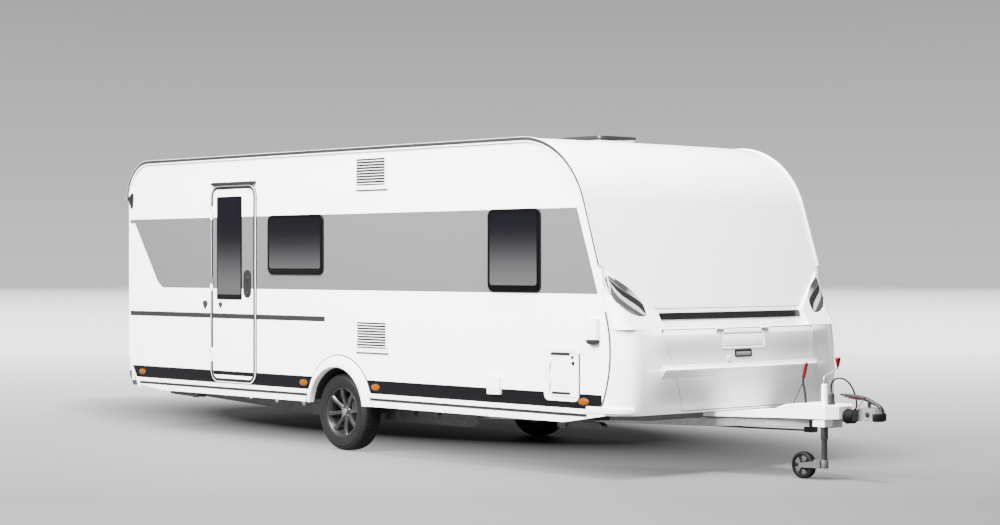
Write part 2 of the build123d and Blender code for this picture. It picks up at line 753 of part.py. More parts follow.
PANE_T = 26.0
with BuildPart() as panes:
    for side, x0, x1, z0, z1 in WINDOWS:
        with BuildSketch(side_plane(side, WINDOW_PROUD + 4)):
            add(box_sketch(x0, x1, z0, z1, -WINDOW_RIM - 0.4, WINDOW_R - WINDOW_RIM))
        extrude(amount=-side * PANE_T)
    with BuildSketch(Plane.YZ.offset(REAR_X - WINDOW_PROUD - 4)):
        add(box_sketch(*REAR_WINDOW, -WINDOW_RIM - 0.4, WINDOW_R - WINDOW_RIM))
    extrude(amount=PANE_T)
save(panes.part, "window_panes")

# Entry door: frame with the fixed halves of three hinges, leaf with the moving halves
DOOR_AXIS_X = DOOR_X0 - DOOR_GAP / 2
HINGES_Z = (DOOR_Z0 + 210.0, (DOOR_Z0 + DOOR_Z1) / 2, DOOR_Z1 - 210.0)
HINGE_L = 60.0
with BuildPart() as door_frame:
    with BuildSketch(side_plane(1)):
        rim = DOOR_GAP + DOOR_RIM
        add(box_sketch(DOOR_X0, DOOR_X1, DOOR_Z0, DOOR_Z1, rim, DOOR_R + rim))
        add(box_sketch(DOOR_X0, DOOR_X1, DOOR_Z0, DOOR_Z1, DOOR_GAP, DOOR_R + DOOR_GAP), mode=Mode.SUBTRACT)
    extrude(amount=DOOR_PROUD)
    for z in HINGES_Z:
        with BuildSketch(Plane.XY.offset(z - HINGE_L)):
            with Locations((DOOR_AXIS_X, -HALF - DOOR_AXIS_OUT)):
                Circle(DOOR_BARREL_R)
            with Locations((DOOR_AXIS_X - 12, -HALF - (DOOR_AXIS_OUT + 4) / 2)):
                Rectangle(20, DOOR_AXIS_OUT + 4)
        extrude(amount=HINGE_L - HINGE_GAP)
save(door_frame.part, "door_frame")

DOOR_WINDOW = (DOOR_X0 + 63.0, DOOR_X1 - 189.0, DOOR_Z1 - 995.0, DOOR_Z1 - 63.0)
with BuildPart() as door_leaf:
    with BuildSketch(side_plane(1, DOOR_PROUD)):
        add(box_sketch(DOOR_X0, DOOR_X1, DOOR_Z0, DOOR_Z1, 0.0, DOOR_R))
        add(box_sketch(*DOOR_WINDOW, -18.0, 30.0), mode=Mode.SUBTRACT)
    extrude(amount=-DOOR_T)
    for z in HINGES_Z:
        with BuildSketch(Plane.XY.offset(z + HINGE_GAP)):
            with Locations((DOOR_AXIS_X, -HALF - DOOR_AXIS_OUT)):
                Circle(DOOR_BARREL_R)
            with Locations((DOOR_AXIS_X + 12, -HALF - (DOOR_AXIS_OUT + DOOR_PROUD) / 2)):
                Rectangle(20, DOOR_AXIS_OUT - DOOR_PROUD + 2)
        extrude(amount=HINGE_L - HINGE_GAP)
save(door_leaf.part, "door_leaf")

with BuildPart() as door_window:
    with BuildSketch(side_plane(1, DOOR_PROUD)):
        add(box_sketch(*DOOR_WINDOW, 0.0, 48.0))
    extrude(amount=9)
    with BuildSketch(side_plane(1, DOOR_PROUD)):
        add(box_sketch(*DOOR_WINDOW, -18.4, 30.0))
    extrude(amount=-DOOR_T)
save(door_window.part, "door_window")

DOOR_HANDLE = (DOOR_X1 - 144.0, DOOR_X1 - 30.0, 1279.0, 1527.0)
with BuildPart() as door_handle:
    with BuildSketch(side_plane(1, DOOR_PROUD)):
        add(box_sketch(*DOOR_HANDLE, 0.0, 36.0))
    extrude(amount=10)
    with BuildSketch(side_plane(1, DOOR_PROUD + 10)):
        add(box_sketch(DOOR_X1 - 126.0, DOOR_X1 - 84.0, 1300.0, 1506.0, 0.0, 18.0))
    extrude(amount=12)
save(door_handle.part, "door_handle")

# Fridge vents with their slots
with BuildPart() as vents:
    for x0, x1, z0, z1 in VENTS:
        with BuildSketch(side_plane(1)):
            add(box_sketch(x0, x1, z0, z1, 0.0, 18.0))
        extrude(amount=VENT_PROUD)
        pitch = (z1 - z0 - 60) / VENT_SLOTS
        with BuildSketch(side_plane(1, VENT_PROUD)):
            for slot in range(VENT_SLOTS):
                with Locations(((x0 + x1) / 2, z0 + 30 + pitch * (slot + 0.5))):
                    Rectangle(x1 - x0 - 70, pitch * 0.45)
        extrude(amount=-10, mode=Mode.SUBTRACT)
save(vents.part, "fridge_vents")

# Service hatch: frame and door, hung on its rear edge
HATCH_AXIS_X = HATCH_X0 + 2.0
HATCH_FRAME = (HATCH_X0 - 60.0, HATCH_X1 + 11.0, HATCH_Z0 - 30.0, HATCH_Z1 + 30.0)
with BuildPart() as service_frame:
    with BuildSketch(side_plane(1)):
        add(box_sketch(*HATCH_FRAME, 0.0, 50.0))
        add(box_sketch(HATCH_X0, HATCH_X1, HATCH_Z0, HATCH_Z1, 0.0, 30.0), mode=Mode.SUBTRACT)
    extrude(amount=8)
    for z in (HATCH_Z0 + 90, HATCH_Z1 - 90):
        with BuildSketch(Plane.XY.offset(z - 30)):
            with Locations((HATCH_AXIS_X, -HALF - HATCH_AXIS_OUT)):
                Circle(HATCH_BARREL_R)
            with Locations((HATCH_AXIS_X - 9, -HALF - HATCH_AXIS_OUT / 2 - 2)):
                Rectangle(12, HATCH_AXIS_OUT)
        extrude(amount=30 - HINGE_GAP)
save(service_frame.part, "service_frame")

with BuildPart() as service_door:
    with BuildSketch(side_plane(1, 6)):
        add(box_sketch(HATCH_X0, HATCH_X1, HATCH_Z0, HATCH_Z1, -5.0, 25.0))
    extrude(amount=-HATCH_T)
    for z in (HATCH_Z0 + 90, HATCH_Z1 - 90):
        with BuildSketch(Plane.XY.offset(z + HINGE_GAP)):
            with Locations((HATCH_AXIS_X, -HALF - HATCH_AXIS_OUT)):
                Circle(HATCH_BARREL_R)
            with Locations((HATCH_AXIS_X + 10, -HALF - HATCH_AXIS_OUT / 2 - 3)):
                Rectangle(14, HATCH_AXIS_OUT - 6 + 4)
        extrude(amount=30 - HINGE_GAP)
save(service_door.part, "service_door")

# Mains inlet, water filler, porch lamp: x0, x1, z0, z1, how far they stand out
FITTINGS = (
    (SEAM_X - 229.0, SEAM_X - 105.0, 1011.0, 1181.0, 34.0),
    (SEAM_X - 1319.0, SEAM_X - 1173.0, 571.0, 715.0, 22.0),
    (DOOR_X0 - 23.0, DOOR_X1, DOOR_Z1 + 40.0, DOOR_Z1 + 60.0, 26.0),
)
with BuildPart() as fittings:
    for x0, x1, z0, z1, proud in FITTINGS:
        with BuildSketch(side_plane(1)):
            add(box_sketch(x0, x1, z0, z1, 0.0, 8.0))
        extrude(amount=proud, taper=6)
save(fittings.part, "wall_fittings")

# Side marker lamps
MARKERS_X = (REAR_X + 239.0, AXLE_X - 458.0, AXLE_X + 520.0, SEAM_X - 271.0)
with BuildPart() as markers:
    for side, name in SIDES:
        with BuildSketch(side_plane(side)):
            for x in MARKERS_X:
                with Locations((x, 565)):
                    Ellipse(45, 25)
        extrude(amount=side * 14)
save(markers.part, "side_markers")

# Rear bumper and lamps
BUMPER_X = REAR_X - 40.0
with BuildPart() as bumper:
    with BuildSketch(Plane.XZ.offset(-NARROW)):
        with BuildLine():
            Polyline(
                (REAR_X, 760),
                (REAR_X, 470),
                (REAR_CUT_X + 30, 470),
                (REAR_CUT_X + 30, 425),
                (BUMPER_X + 60, 425),
                (BUMPER_X, 520),
                (BUMPER_X, 740),
                close=True,
            )
        make_face()
    extrude(amount=2 * NARROW)
save(bumper.part, "rear_bumper")

with BuildPart() as rear_lamps:
    for side, name in SIDES:
        with BuildSketch(Plane.YZ.offset(REAR_X)):
            with Locations((side * (160 - HALF), 905)):
                RectangleRounded(170, 270, 30)
            with Locations((side * (80 - HALF), ROOF_Z - REAR_R - 50)):
                Rectangle(80, 90)
        extrude(amount=-26)
save(rear_lamps.part, "rear_lamps")

# Chassis rails: channel sections, deep at the axle
with BuildPart() as rails:
    for side, name in SIDES:
        with BuildSketch(Plane.XZ.offset(side * RAIL_Y)):
            with BuildLine():
                Polyline(
                    (-3400, FLOOR_Z),
                    (-3400, 340),
                    (-1500, RAIL_LOW_Z),
                    (500, RAIL_LOW_Z),
                    (620, 300),
                    (620, FLOOR_Z),
                    close=True,
                )
            make_face()
        extrude(amount=-side * RAIL_W)
        with BuildSketch(Plane.XZ.offset(side * (RAIL_Y - RAIL_T))):
            with BuildLine():
                Polyline(
                    (-3410, FLOOR_Z - RAIL_T),
                    (-3410, 340 + RAIL_T),
                    (-1500, RAIL_LOW_Z + RAIL_T),
                    (500, RAIL_LOW_Z + RAIL_T),
                    (630, 300 + RAIL_T),
                    (630, FLOOR_Z - RAIL_T),
                    close=True,
                )
            make_face()
        extrude(amount=-side * RAIL_W, mode=Mode.SUBTRACT)
        with BuildSketch(Plane.XZ.offset(side * (RAIL_Y + 5))):
            with Locations(
                (-2900, 385), (-2500, 372), (-2100, 355), (-1700, 342),
                (-150, 338), (150, 338),
            ):
                Circle(30)
        extrude(amount=-side * (RAIL_T + 10), mode=Mode.SUBTRACT)
        with BuildSketch(Plane.XZ.offset(side * (RAIL_Y + 5))):
            with Locations((AXLE_BEAM_X, AXLE_BEAM_Z)):
                RegularPolygon(AXLE_BEAM_R + BODY_GAP, 6)
        extrude(amount=-side * (RAIL_W + 10), mode=Mode.SUBTRACT)
save(rails.part, "chassis_rails")

# Drawbar arms: box sections from the rails to the coupling, rising in front of the floor
# x, low z, top z
ARM_SECTIONS = (
    (ARM_REAR_X, ARM_LOW_Z, ARM_TOP_Z),
    (ARM_BEND_X, ARM_BEND_LOW_Z, ARM_TOP_Z),
    (ARM_LEVEL_X, ARM_FRONT_LOW_Z, ARM_FRONT_TOP_Z),
    (ARM_FRONT_X, ARM_FRONT_LOW_Z, ARM_FRONT_TOP_Z),
)
ARM_T = 5.0


def arm_body(side, inset):
    """One arm's form, its four sides moved in by inset: ruled between upright rectangles."""
    lean = (ARM_REAR_Y - ARM_FRONT_Y) / (ARM_FRONT_X - ARM_REAR_X)
    with BuildPart() as body:
        for x, low, top in ARM_SECTIONS:
            with BuildSketch(Plane.YZ.offset(x)):
                with Locations((-side * (ARM_FRONT_Y + lean * (ARM_FRONT_X - x)), (low + top) / 2)):
                    Rectangle(ARM_W - 2 * inset, top - low - 2 * inset)
        loft(ruled=True)
    return body.part


with BuildPart() as arms:
    for side, name in SIDES:
        add(arm_body(side, 0.0))
        add(arm_body(side, ARM_T), mode=Mode.SUBTRACT)
save(arms.part, "drawbar_arms")

# Cross members between the rails' webs: x, z0, z1
CROSS = (
    (-3300.0, 350.0, FLOOR_Z - RAIL_T),
    (ARM_REAR_X - 30.0, 320.0, FLOOR_Z - RAIL_T),
)
with BuildPart() as cross:
    for x, z0, z1 in CROSS:
        with Locations((x, 0, (z0 + z1) / 2)):
            Box(60, 2 * (RAIL_Y - RAIL_T), z1 - z0)
save(cross.part, "cross_members")

# Axle: beam, trailing arms, brake drums and stubs that carry the wheels
AXLE_ARM_Y = TYRE_Y - 168.0
with BuildPart() as axle:
    with BuildSketch(Plane.XZ.offset(-AXLE_ARM_Y)):
        with Locations((AXLE_BEAM_X, AXLE_BEAM_Z)):
            RegularPolygon(AXLE_BEAM_R, 6)
    extrude(amount=2 * AXLE_ARM_Y)
    for side, name in SIDES:
        with BuildSketch(Plane.XZ.offset(side * AXLE_ARM_Y)):
            with BuildLine():
                Polyline(
                    (AXLE_BEAM_X + 50, AXLE_BEAM_Z - 45),
                    (AXLE_BEAM_X + 50, AXLE_BEAM_Z + 45),
                    (AXLE_X - 40, TYRE_R + 35),
                    (AXLE_X - 40, TYRE_R - 35),
                    close=True,
                )
            make_face()
        extrude(amount=side * 40)
        with BuildSketch(Plane.XZ.offset(side * (AXLE_ARM_Y + 40))):
            with Locations((AXLE_X, TYRE_R)):
                Circle(DRUM_R)
        extrude(amount=side * 60)
        with BuildSketch(Plane.XZ.offset(side * (AXLE_ARM_Y + 100))):
            with Locations((AXLE_X, TYRE_R)):
                Circle(STUB_R)
        extrude(amount=side * 100)
save(axle.part, "axle")

# Wheels: tyre and spoked rim
SPOKES = 8
for side, name in SIDES:
    centre_y = -side * TYRE_Y
    axis = Axis((AXLE_X, centre_y, TYRE_R), (0, 1, 0))
    section = Plane(origin=(AXLE_X, centre_y, TYRE_R), x_dir=(1, 0, 0), z_dir=(0, 0, 1))
    half_w = TYRE_W / 2
    with BuildPart() as tyre:
        with BuildSketch(section):
            with BuildLine():
                Polyline(
                    (RIM_R, -half_w + 12),
                    (RIM_R + 45, -half_w),
                    (TYRE_R - 30, -half_w + 4),
                )
                ThreePointArc(
                    (TYRE_R - 30, -half_w + 4),
                    (TYRE_R - 8, -half_w + 14),
                    (TYRE_R, -half_w + 36),
                )
                Line((TYRE_R, -half_w + 36), (TYRE_R, half_w - 36))
                ThreePointArc(
                    (TYRE_R, half_w - 36),
                    (TYRE_R - 8, half_w - 14),
                    (TYRE_R - 30, half_w - 4),
                )
                Polyline(
                    (TYRE_R - 30, half_w - 4),
                    (RIM_R + 45, half_w),
                    (RIM_R, half_w - 12),
                    (RIM_R, -half_w + 12),
                )
            make_face()
        revolve(axis=axis)
    save(tyre.part, "tyre_" + name)
    with BuildPart() as rim:
        with BuildSketch(section):
            with BuildLine():
                Polyline(
                    (RIM_R, -half_w + 12),
                    (RIM_R, half_w - 12),
                    (RIM_R - 14, half_w - 10),
                    (RIM_R - 20, half_w - 40),
                    (RIM_R - 20, -half_w + 40),
                    (RIM_R - 14, -half_w + 10),
                    close=True,
                )
            make_face()
        revolve(axis=axis)
        with BuildSketch(Plane.XZ.offset(side * (TYRE_Y + 28))):
            with Locations((AXLE_X, TYRE_R)):
                Circle(RIM_R - 10)
                with PolarLocations(132, SPOKES):
                    SlotOverall(104, 56, mode=Mode.SUBTRACT)
        extrude(amount=side * 34)
        with BuildSketch(Plane.XZ.offset(side * (TYRE_Y - 62))):
            with Locations((AXLE_X, TYRE_R)):
                Circle(66)
        extrude(amount=side * 90)
        with BuildSketch(Plane.XZ.offset(side * (TYRE_Y - 63))):
            with Locations((AXLE_X, TYRE_R)):
                Circle(STUB_R + RUN_GAP)
        extrude(amount=side * 100, mode=Mode.SUBTRACT)
    save(rim.part, "rim_" + name)

# Overrun: damper tube, bellows, coupling head
OVERRUN_X0 = ARM_FRONT_X - 140.0
OVERRUN_X1 = ARM_FRONT_X + 245.0
OVERRUN_W = 112.0
HEAD_X = BALL_X - 165.0
HEAD_R = 75.0
HEAD_HALF = 54.0
with BuildPart() as overrun:
    with BuildSketch(Plane.YZ.offset(OVERRUN_X0)):
        with Locations((0, TUBE_Z)):
            Circle(TUBE_R + 14)
    extrude(amount=OVERRUN_X1 - OVERRUN_X0)
    with BuildSketch(Plane.YZ.offset(OVERRUN_X1)):
        with Locations((0, TUBE_Z)):
            Circle(TUBE_R)
    extrude(amount=HEAD_X + 55 - OVERRUN_X1)
    with BuildSketch(Plane.XY.offset(ARM_FRONT_TOP_Z)):
        with Locations((ARM_FRONT_X - 70, 0)):
            Rectangle(160, 210)
    extrude(amount=10)
    with BuildSketch(Plane.XY.offset(ARM_FRONT_LOW_Z)):
        with Locations((ARM_FRONT_X + 70, 0)):
            Rectangle(220, OVERRUN_W)
    extrude(amount=TUBE_Z - ARM_FRONT_LOW_Z - 20)
save(overrun.part, "overrun_tube")

BELLOWS_X0 = OVERRUN_X1 + 20.0
BELLOWS_X1 = HEAD_X - 5.0
BELLOWS_FOLDS = 5
with BuildPart() as bellows:
    step = (BELLOWS_X1 - BELLOWS_X0) / BELLOWS_FOLDS
    for fold in range(BELLOWS_FOLDS):
        with BuildSketch(Plane.YZ.offset(BELLOWS_X0 + fold * step)):
            with Locations((0, TUBE_Z)):
                Circle(56)
                Circle(TUBE_R + BODY_GAP, mode=Mode.SUBTRACT)
        extrude(amount=step * 0.6)
        with BuildSketch(Plane.YZ.offset(BELLOWS_X0 + (fold + 0.6) * step)):
            with Locations((0, TUBE_Z)):
                Circle(44)
                Circle(TUBE_R + BODY_GAP, mode=Mode.SUBTRACT)
        extrude(amount=step * 0.4)
save(bellows.part, "bellows")

with BuildPart() as head:
    with BuildSketch(Plane.XZ.offset(-HEAD_HALF)):
        with BuildLine():
            Polyline(
                (HEAD_X, BALL_Z - 30),
                (HEAD_X, BALL_Z + 45),
                (BALL_X - 60, BALL_Z + 75),
                (BALL_X + 40, BALL_Z + 70),
                (BALL_X + HEAD_R, BALL_Z + 35),
                (BALL_X + HEAD_R, BALL_Z - SOCKET_DEEP),
                (BALL_X - 80, BALL_Z - SOCKET_DEEP),
                close=True,
            )
        make_face()
    extrude(amount=2 * HEAD_HALF)
    with BuildSketch(Plane.XY):
        with Locations((BALL_X, 0)):
            Circle(HEAD_R)
        with BuildLine():
            Polyline(
                (HEAD_X - 5, -HEAD_HALF + 14),
                (BALL_X, -HEAD_HALF),
                (BALL_X, HEAD_HALF),
                (HEAD_X - 5, HEAD_HALF - 14),
                close=True,
            )
        make_face()
    extrude(amount=BALL_Z + 200, mode=Mode.INTERSECT)
    with BuildSketch(Plane.YZ.offset(HEAD_X - 5)):
        with Locations((0, TUBE_Z)):
            Circle(TUBE_R)
    extrude(amount=62, mode=Mode.SUBTRACT)
    with BuildSketch(Plane.XY.offset(BALL_Z - SOCKET_DEEP)):
        with Locations((BALL_X, 0)):
            Circle(BALL_R + BALL_GAP)
    extrude(amount=SOCKET_DEEP, mode=Mode.SUBTRACT)
    with Locations((BALL_X, 0, BALL_Z)):
        Sphere(BALL_R + BALL_GAP, mode=Mode.SUBTRACT)
save(head.part, "coupling_head")

# Soft tip of the coupling
with BuildPart() as tip:
    with BuildSketch(Plane.XY.offset(BALL_Z - SOCKET_DEEP + 6)):
        with Locations((BALL_X, 0)):
            Circle(TIP_X - BALL_X)
            Circle(HEAD_R + BODY_GAP, mode=Mode.SUBTRACT)
        with Locations((BALL_X + 42 - HEAD_R, 0)):
            Rectangle(2 * HEAD_R, 4 * HEAD_R, mode=Mode.SUBTRACT)
    extrude(amount=56)
save(tip.part, "coupling_tip")

# Stabiliser lever over the head
with BuildPart() as lever:
    with BuildSketch(Plane.XZ.offset(-16)):
        with BuildLine():
            Polyline(
                (BALL_X - 299, BALL_Z + 164),
                (BALL_X - 299, BALL_Z + 138),
                (BALL_X - 80, BALL_Z + 114),
                (BALL_X - 60, BALL_Z + 75 + BODY_GAP),
                (BALL_X + 10, BALL_Z + 71.5 + BODY_GAP),
                (BALL_X - 10, BALL_Z + 115),
                (BALL_X - 72, BALL_Z + 142),
                close=True,
            )
        make_face()
    extrude(amount=32)
save(lever.part, "stabiliser_lever")

# Handbrake lever, drawn on: a flat bar and a round grip
BRAKE_X = ARM_FRONT_X - 117.0
BRAKE_LOW_Z = TUBE_Z + TUBE_R + 14.5
BRAKE_GRIP_Z = 735.0
BRAKE_GRIP_L = 116.0
BRAKE_GRIP_R = 15.0
with BuildPart() as brake:
    with BuildSketch(Plane.XZ.offset(-7)):
        with BuildLine():
            Polyline(
                (BRAKE_X - 8, BRAKE_LOW_Z),
                (BRAKE_X + 8, BRAKE_LOW_Z),
                (BRAKE_X - 10, BRAKE_GRIP_Z + 8),
                (BRAKE_X - 28, BRAKE_GRIP_Z + 8),
                close=True,
            )
        make_face()
    extrude(amount=14)
    grip_end = Plane(origin=(BRAKE_X - 22, 0, BRAKE_GRIP_Z), z_dir=(0.26, 0, 1))
    with BuildSketch(grip_end):
        Circle(BRAKE_GRIP_R)
    extrude(amount=BRAKE_GRIP_L)
save(brake.part, "handbrake_lever")

# Drawbar cover: a shell open below, over the arms
COVER_TOP_Z = 548.0
COVER_X0 = NOSE_X - 100.0
COVER_X1 = OVERRUN_X1 + 10.0
# x, half width, low z, top z
COVER = (
    (COVER_X0, 330.0, 430.0, 456.0),
    (ARM_FRONT_X - 270.0, 215.0, 442.0, 500.0),
    (ARM_FRONT_X - 150.0, 195.0, 446.0, COVER_TOP_Z),
    (ARM_FRONT_X + 190.0, 156.0, 450.0, COVER_TOP_Z),
    (COVER_X1, 78.0, 452.0, COVER_TOP_Z - 6.0),
)
COVER_T = 8.0


def cover_body(inset, drop):
    """The cover's form, moved in by inset above and at its sides and down by drop: ruled between
    upright rectangles."""
    with BuildPart() as body:
        for x, half, low, top in COVER:
            shift = {COVER_X0: inset, COVER_X1: -inset}.get(x, 0.0)
            with BuildSketch(Plane.YZ.offset(x + shift)):
                with Locations((0, (top - inset + low - drop) / 2)):
                    Rectangle(2 * (half - inset), top - inset - low + drop)
        loft(ruled=True)
    return body.part


with BuildPart() as cover:
    add(cover_body(0.0, 0.0))
    add(cover_body(COVER_T, 1.0), mode=Mode.SUBTRACT)
    with BuildSketch(Plane.XY.offset(400)):
        with Locations((JOCKEY_X, JOCKEY_Y)):
            Circle(JOCKEY_TUBE_R + BODY_GAP)
        with Locations((BRAKE_X - 2, 0)):
            Rectangle(40, 16)
    extrude(amount=300, mode=Mode.SUBTRACT)
    with BuildSketch(Plane.YZ.offset(COVER_X1 - COVER_T - 1)):
        with Locations((0, TUBE_Z)):
            Circle(TUBE_R + 14 + BODY_GAP)
    extrude(amount=COVER_T + 2, mode=Mode.SUBTRACT)
save(cover.part, "drawbar_cover")

# Tow lead: its plug parked on the cover, the cable up in an arc and back into the cover's front
PLUG_X = ARM_FRONT_X + 120.0
PLUG_TOP_Z = 660.0
LEAD_R = 5.0
with BuildPart() as plug:
    with BuildSketch(Plane.XZ):
        with BuildLine():
            Polyline(
                (PLUG_X, COVER_TOP_Z),
                (PLUG_X + 32, COVER_TOP_Z),
                (PLUG_X + 32, COVER_TOP_Z + 20),
                (PLUG_X + 26, COVER_TOP_Z + 24),
                (PLUG_X + 27, PLUG_TOP_Z - 34),
                (PLUG_X + 12, PLUG_TOP_Z - 24),
                (PLUG_X + 9, PLUG_TOP_Z),
                (PLUG_X, PLUG_TOP_Z),
                close=True,
            )
        make_face()
    revolve(axis=Axis((PLUG_X, 0, 0), (0, 0, 1)))
save(plug.part, "lead_plug")

lead_route = [
    (PLUG_X, 0, PLUG_TOP_Z),
    (PLUG_X, 0, PLUG_TOP_Z + 72),
    (PLUG_X + 100, 22, PLUG_TOP_Z + 92),
    (PLUG_X + 172, 48, PLUG_TOP_Z + 12),
    (PLUG_X + 202, 64, COVER_TOP_Z - 40),
    (COVER_X1, 64, COVER_TOP_Z - 40),
]
LEAD_BEND_R = 34.0
with BuildPart() as lead:
    with BuildLine() as lead_line:
        FilletPolyline(*lead_route, radius=LEAD_BEND_R)
    with BuildSketch(Plane(origin=lead_route[0], z_dir=(0, 0, 1))):
        Circle(LEAD_R)
    sweep(path=lead_line.line)
save(lead.part, "lead_cable")

# Jockey wheel: clamp and outer tube with its crank, sliding leg, swivelling fork, wheel
CLAMP_LOW_Z = ARM_FRONT_LOW_Z + 10.0
LEG_LOW_Z = 150.0
CLAMP_H = 54.0
KNOB_X = JOCKEY_X + 123.0
KNOB_LOW_Z = JOCKEY_TOP_Z + 130.0
with BuildPart() as clamp:
    with BuildSketch(Plane.XY.offset(CLAMP_LOW_Z)):
        with Locations((JOCKEY_X - 20, JOCKEY_Y + 4)):
            Rectangle(110, 96)
        with Locations((JOCKEY_X, JOCKEY_Y)):
            Circle(JOCKEY_TUBE_R + BODY_GAP, mode=Mode.SUBTRACT)
    extrude(amount=CLAMP_H)
save(clamp.part, "jockey_clamp")

with BuildPart() as outer_tube:
    with BuildSketch(Plane.XY.offset(300)):
        with Locations((JOCKEY_X, JOCKEY_Y)):
            Circle(JOCKEY_TUBE_R)
            Circle(JOCKEY_LEG_R + BODY_GAP, mode=Mode.SUBTRACT)
    extrude(amount=JOCKEY_TOP_Z - 300)
    with BuildSketch(Plane.XY.offset(JOCKEY_TOP_Z)):
        with Locations((JOCKEY_X, JOCKEY_Y)):
            Circle(JOCKEY_TUBE_R)
    extrude(amount=12)
    with BuildSketch(Plane.XY.offset(JOCKEY_TOP_Z + 12)):
        with Locations((JOCKEY_X, JOCKEY_Y)):
            Circle(16)
    extrude(amount=44, taper=8)
    with BuildSketch(Plane.XZ.offset(-JOCKEY_Y - 6)):
        with BuildLine():
            Polyline(
                (JOCKEY_X - 7, JOCKEY_TOP_Z + 54),
                (JOCKEY_X - 7, JOCKEY_TOP_Z + 68),
                (KNOB_X - 7, KNOB_LOW_Z - 8),
                (KNOB_X - 7, KNOB_LOW_Z + 4),
                (KNOB_X + 7, KNOB_LOW_Z + 4),
                (KNOB_X + 7, KNOB_LOW_Z - 18),
                (JOCKEY_X + 7, JOCKEY_TOP_Z + 54),
                close=True,
            )
        make_face()
    extrude(amount=12)
    with BuildSketch(Plane.XZ.offset(-JOCKEY_Y)):
        with BuildLine():
            Polyline(
                (KNOB_X, KNOB_LOW_Z),
                (KNOB_X + 8, KNOB_LOW_Z),
                (KNOB_X + 21, KNOB_LOW_Z + 52),
                (KNOB_X + 17, KNOB_LOW_Z + 68),
                (KNOB_X, KNOB_LOW_Z + 74),
                close=True,
            )
        make_face()
    revolve(axis=Axis((KNOB_X, JOCKEY_Y, 0), (0, 0, 1)))
save(outer_tube.part, "jockey_tube")

with BuildPart() as leg:
    with BuildSketch(Plane.XY.offset(LEG_LOW_Z)):
        with Locations((JOCKEY_X, JOCKEY_Y)):
            Circle(JOCKEY_LEG_R)
    extrude(amount=420)
    with BuildSketch(Plane.XY.offset(LEG_LOW_Z)):
        with Locations((JOCKEY_X, JOCKEY_Y)):
            Circle(12)
    extrude(amount=-60)
save(leg.part, "jockey_leg")

FORK_GAP = 5.0
with BuildPart() as fork:
    with BuildSketch(Plane.XY.offset(88)):
        with Locations((JOCKEY_X, JOCKEY_Y)):
            Circle(30)
        with Locations((JOCKEY_X - 40, JOCKEY_Y)):
            Rectangle(60, JOCKEY_WHEEL_W + 2 * FORK_GAP + 16)
    extrude(amount=LEG_LOW_Z - 88 - 1)
    with BuildSketch(Plane.XY.offset(88)):
        with Locations((JOCKEY_X, JOCKEY_Y)):
            Circle(12 + RUN_GAP)
    extrude(amount=LEG_LOW_Z - 88, mode=Mode.SUBTRACT)
    for along in (-1, 1):
        y = JOCKEY_Y + along * (JOCKEY_WHEEL_W / 2 + FORK_GAP + 4)
        with BuildSketch(Plane.XZ.offset(-y - 4)):
            with BuildLine():
                Polyline(
                    (JOCKEY_X - 20, 145),
                    (JOCKEY_X - JOCKEY_TRAIL - 18, JOCKEY_WHEEL_R + 16),
                    (JOCKEY_X - JOCKEY_TRAIL - 18, JOCKEY_WHEEL_R - 16),
                    (JOCKEY_X - 20, 90),
                    close=True,
                )
            make_face()
        extrude(amount=8)
    with BuildSketch(Plane.XZ.offset(-JOCKEY_Y - JOCKEY_WHEEL_W / 2 - FORK_GAP - 2)):
        with Locations((JOCKEY_X - JOCKEY_TRAIL, JOCKEY_WHEEL_R)):
            Circle(10)
    extrude(amount=JOCKEY_WHEEL_W + 2 * FORK_GAP + 4)
    with BuildSketch(Plane.XZ.offset(-JOCKEY_Y - JOCKEY_WHEEL_W / 2 - FORK_GAP)):
        with Locations((JOCKEY_X - JOCKEY_TRAIL, JOCKEY_WHEEL_R)):
            Circle(JOCKEY_WHEEL_R + FORK_GAP)
            Circle(12, mode=Mode.SUBTRACT)
    extrude(amount=JOCKEY_WHEEL_W + 2 * FORK_GAP, mode=Mode.SUBTRACT)
save(fork.part, "jockey_fork")

with BuildPart() as jockey_wheel:
    with BuildSketch(Plane.XZ.offset(-JOCKEY_Y - JOCKEY_WHEEL_W / 2)):
        with Locations((JOCKEY_X - JOCKEY_TRAIL, JOCKEY_WHEEL_R)):
            Circle(JOCKEY_WHEEL_R)
            Circle(10 + RUN_GAP, mode=Mode.SUBTRACT)
    extrude(amount=JOCKEY_WHEEL_W)
    fillet(
        [
            edge
            for edge in jockey_wheel.edges().filter_by(GeomType.CIRCLE)
            if edge.radius > JOCKEY_WHEEL_R - 1
        ],
        10,
    )
save(jockey_wheel.part, "jockey_wheel")

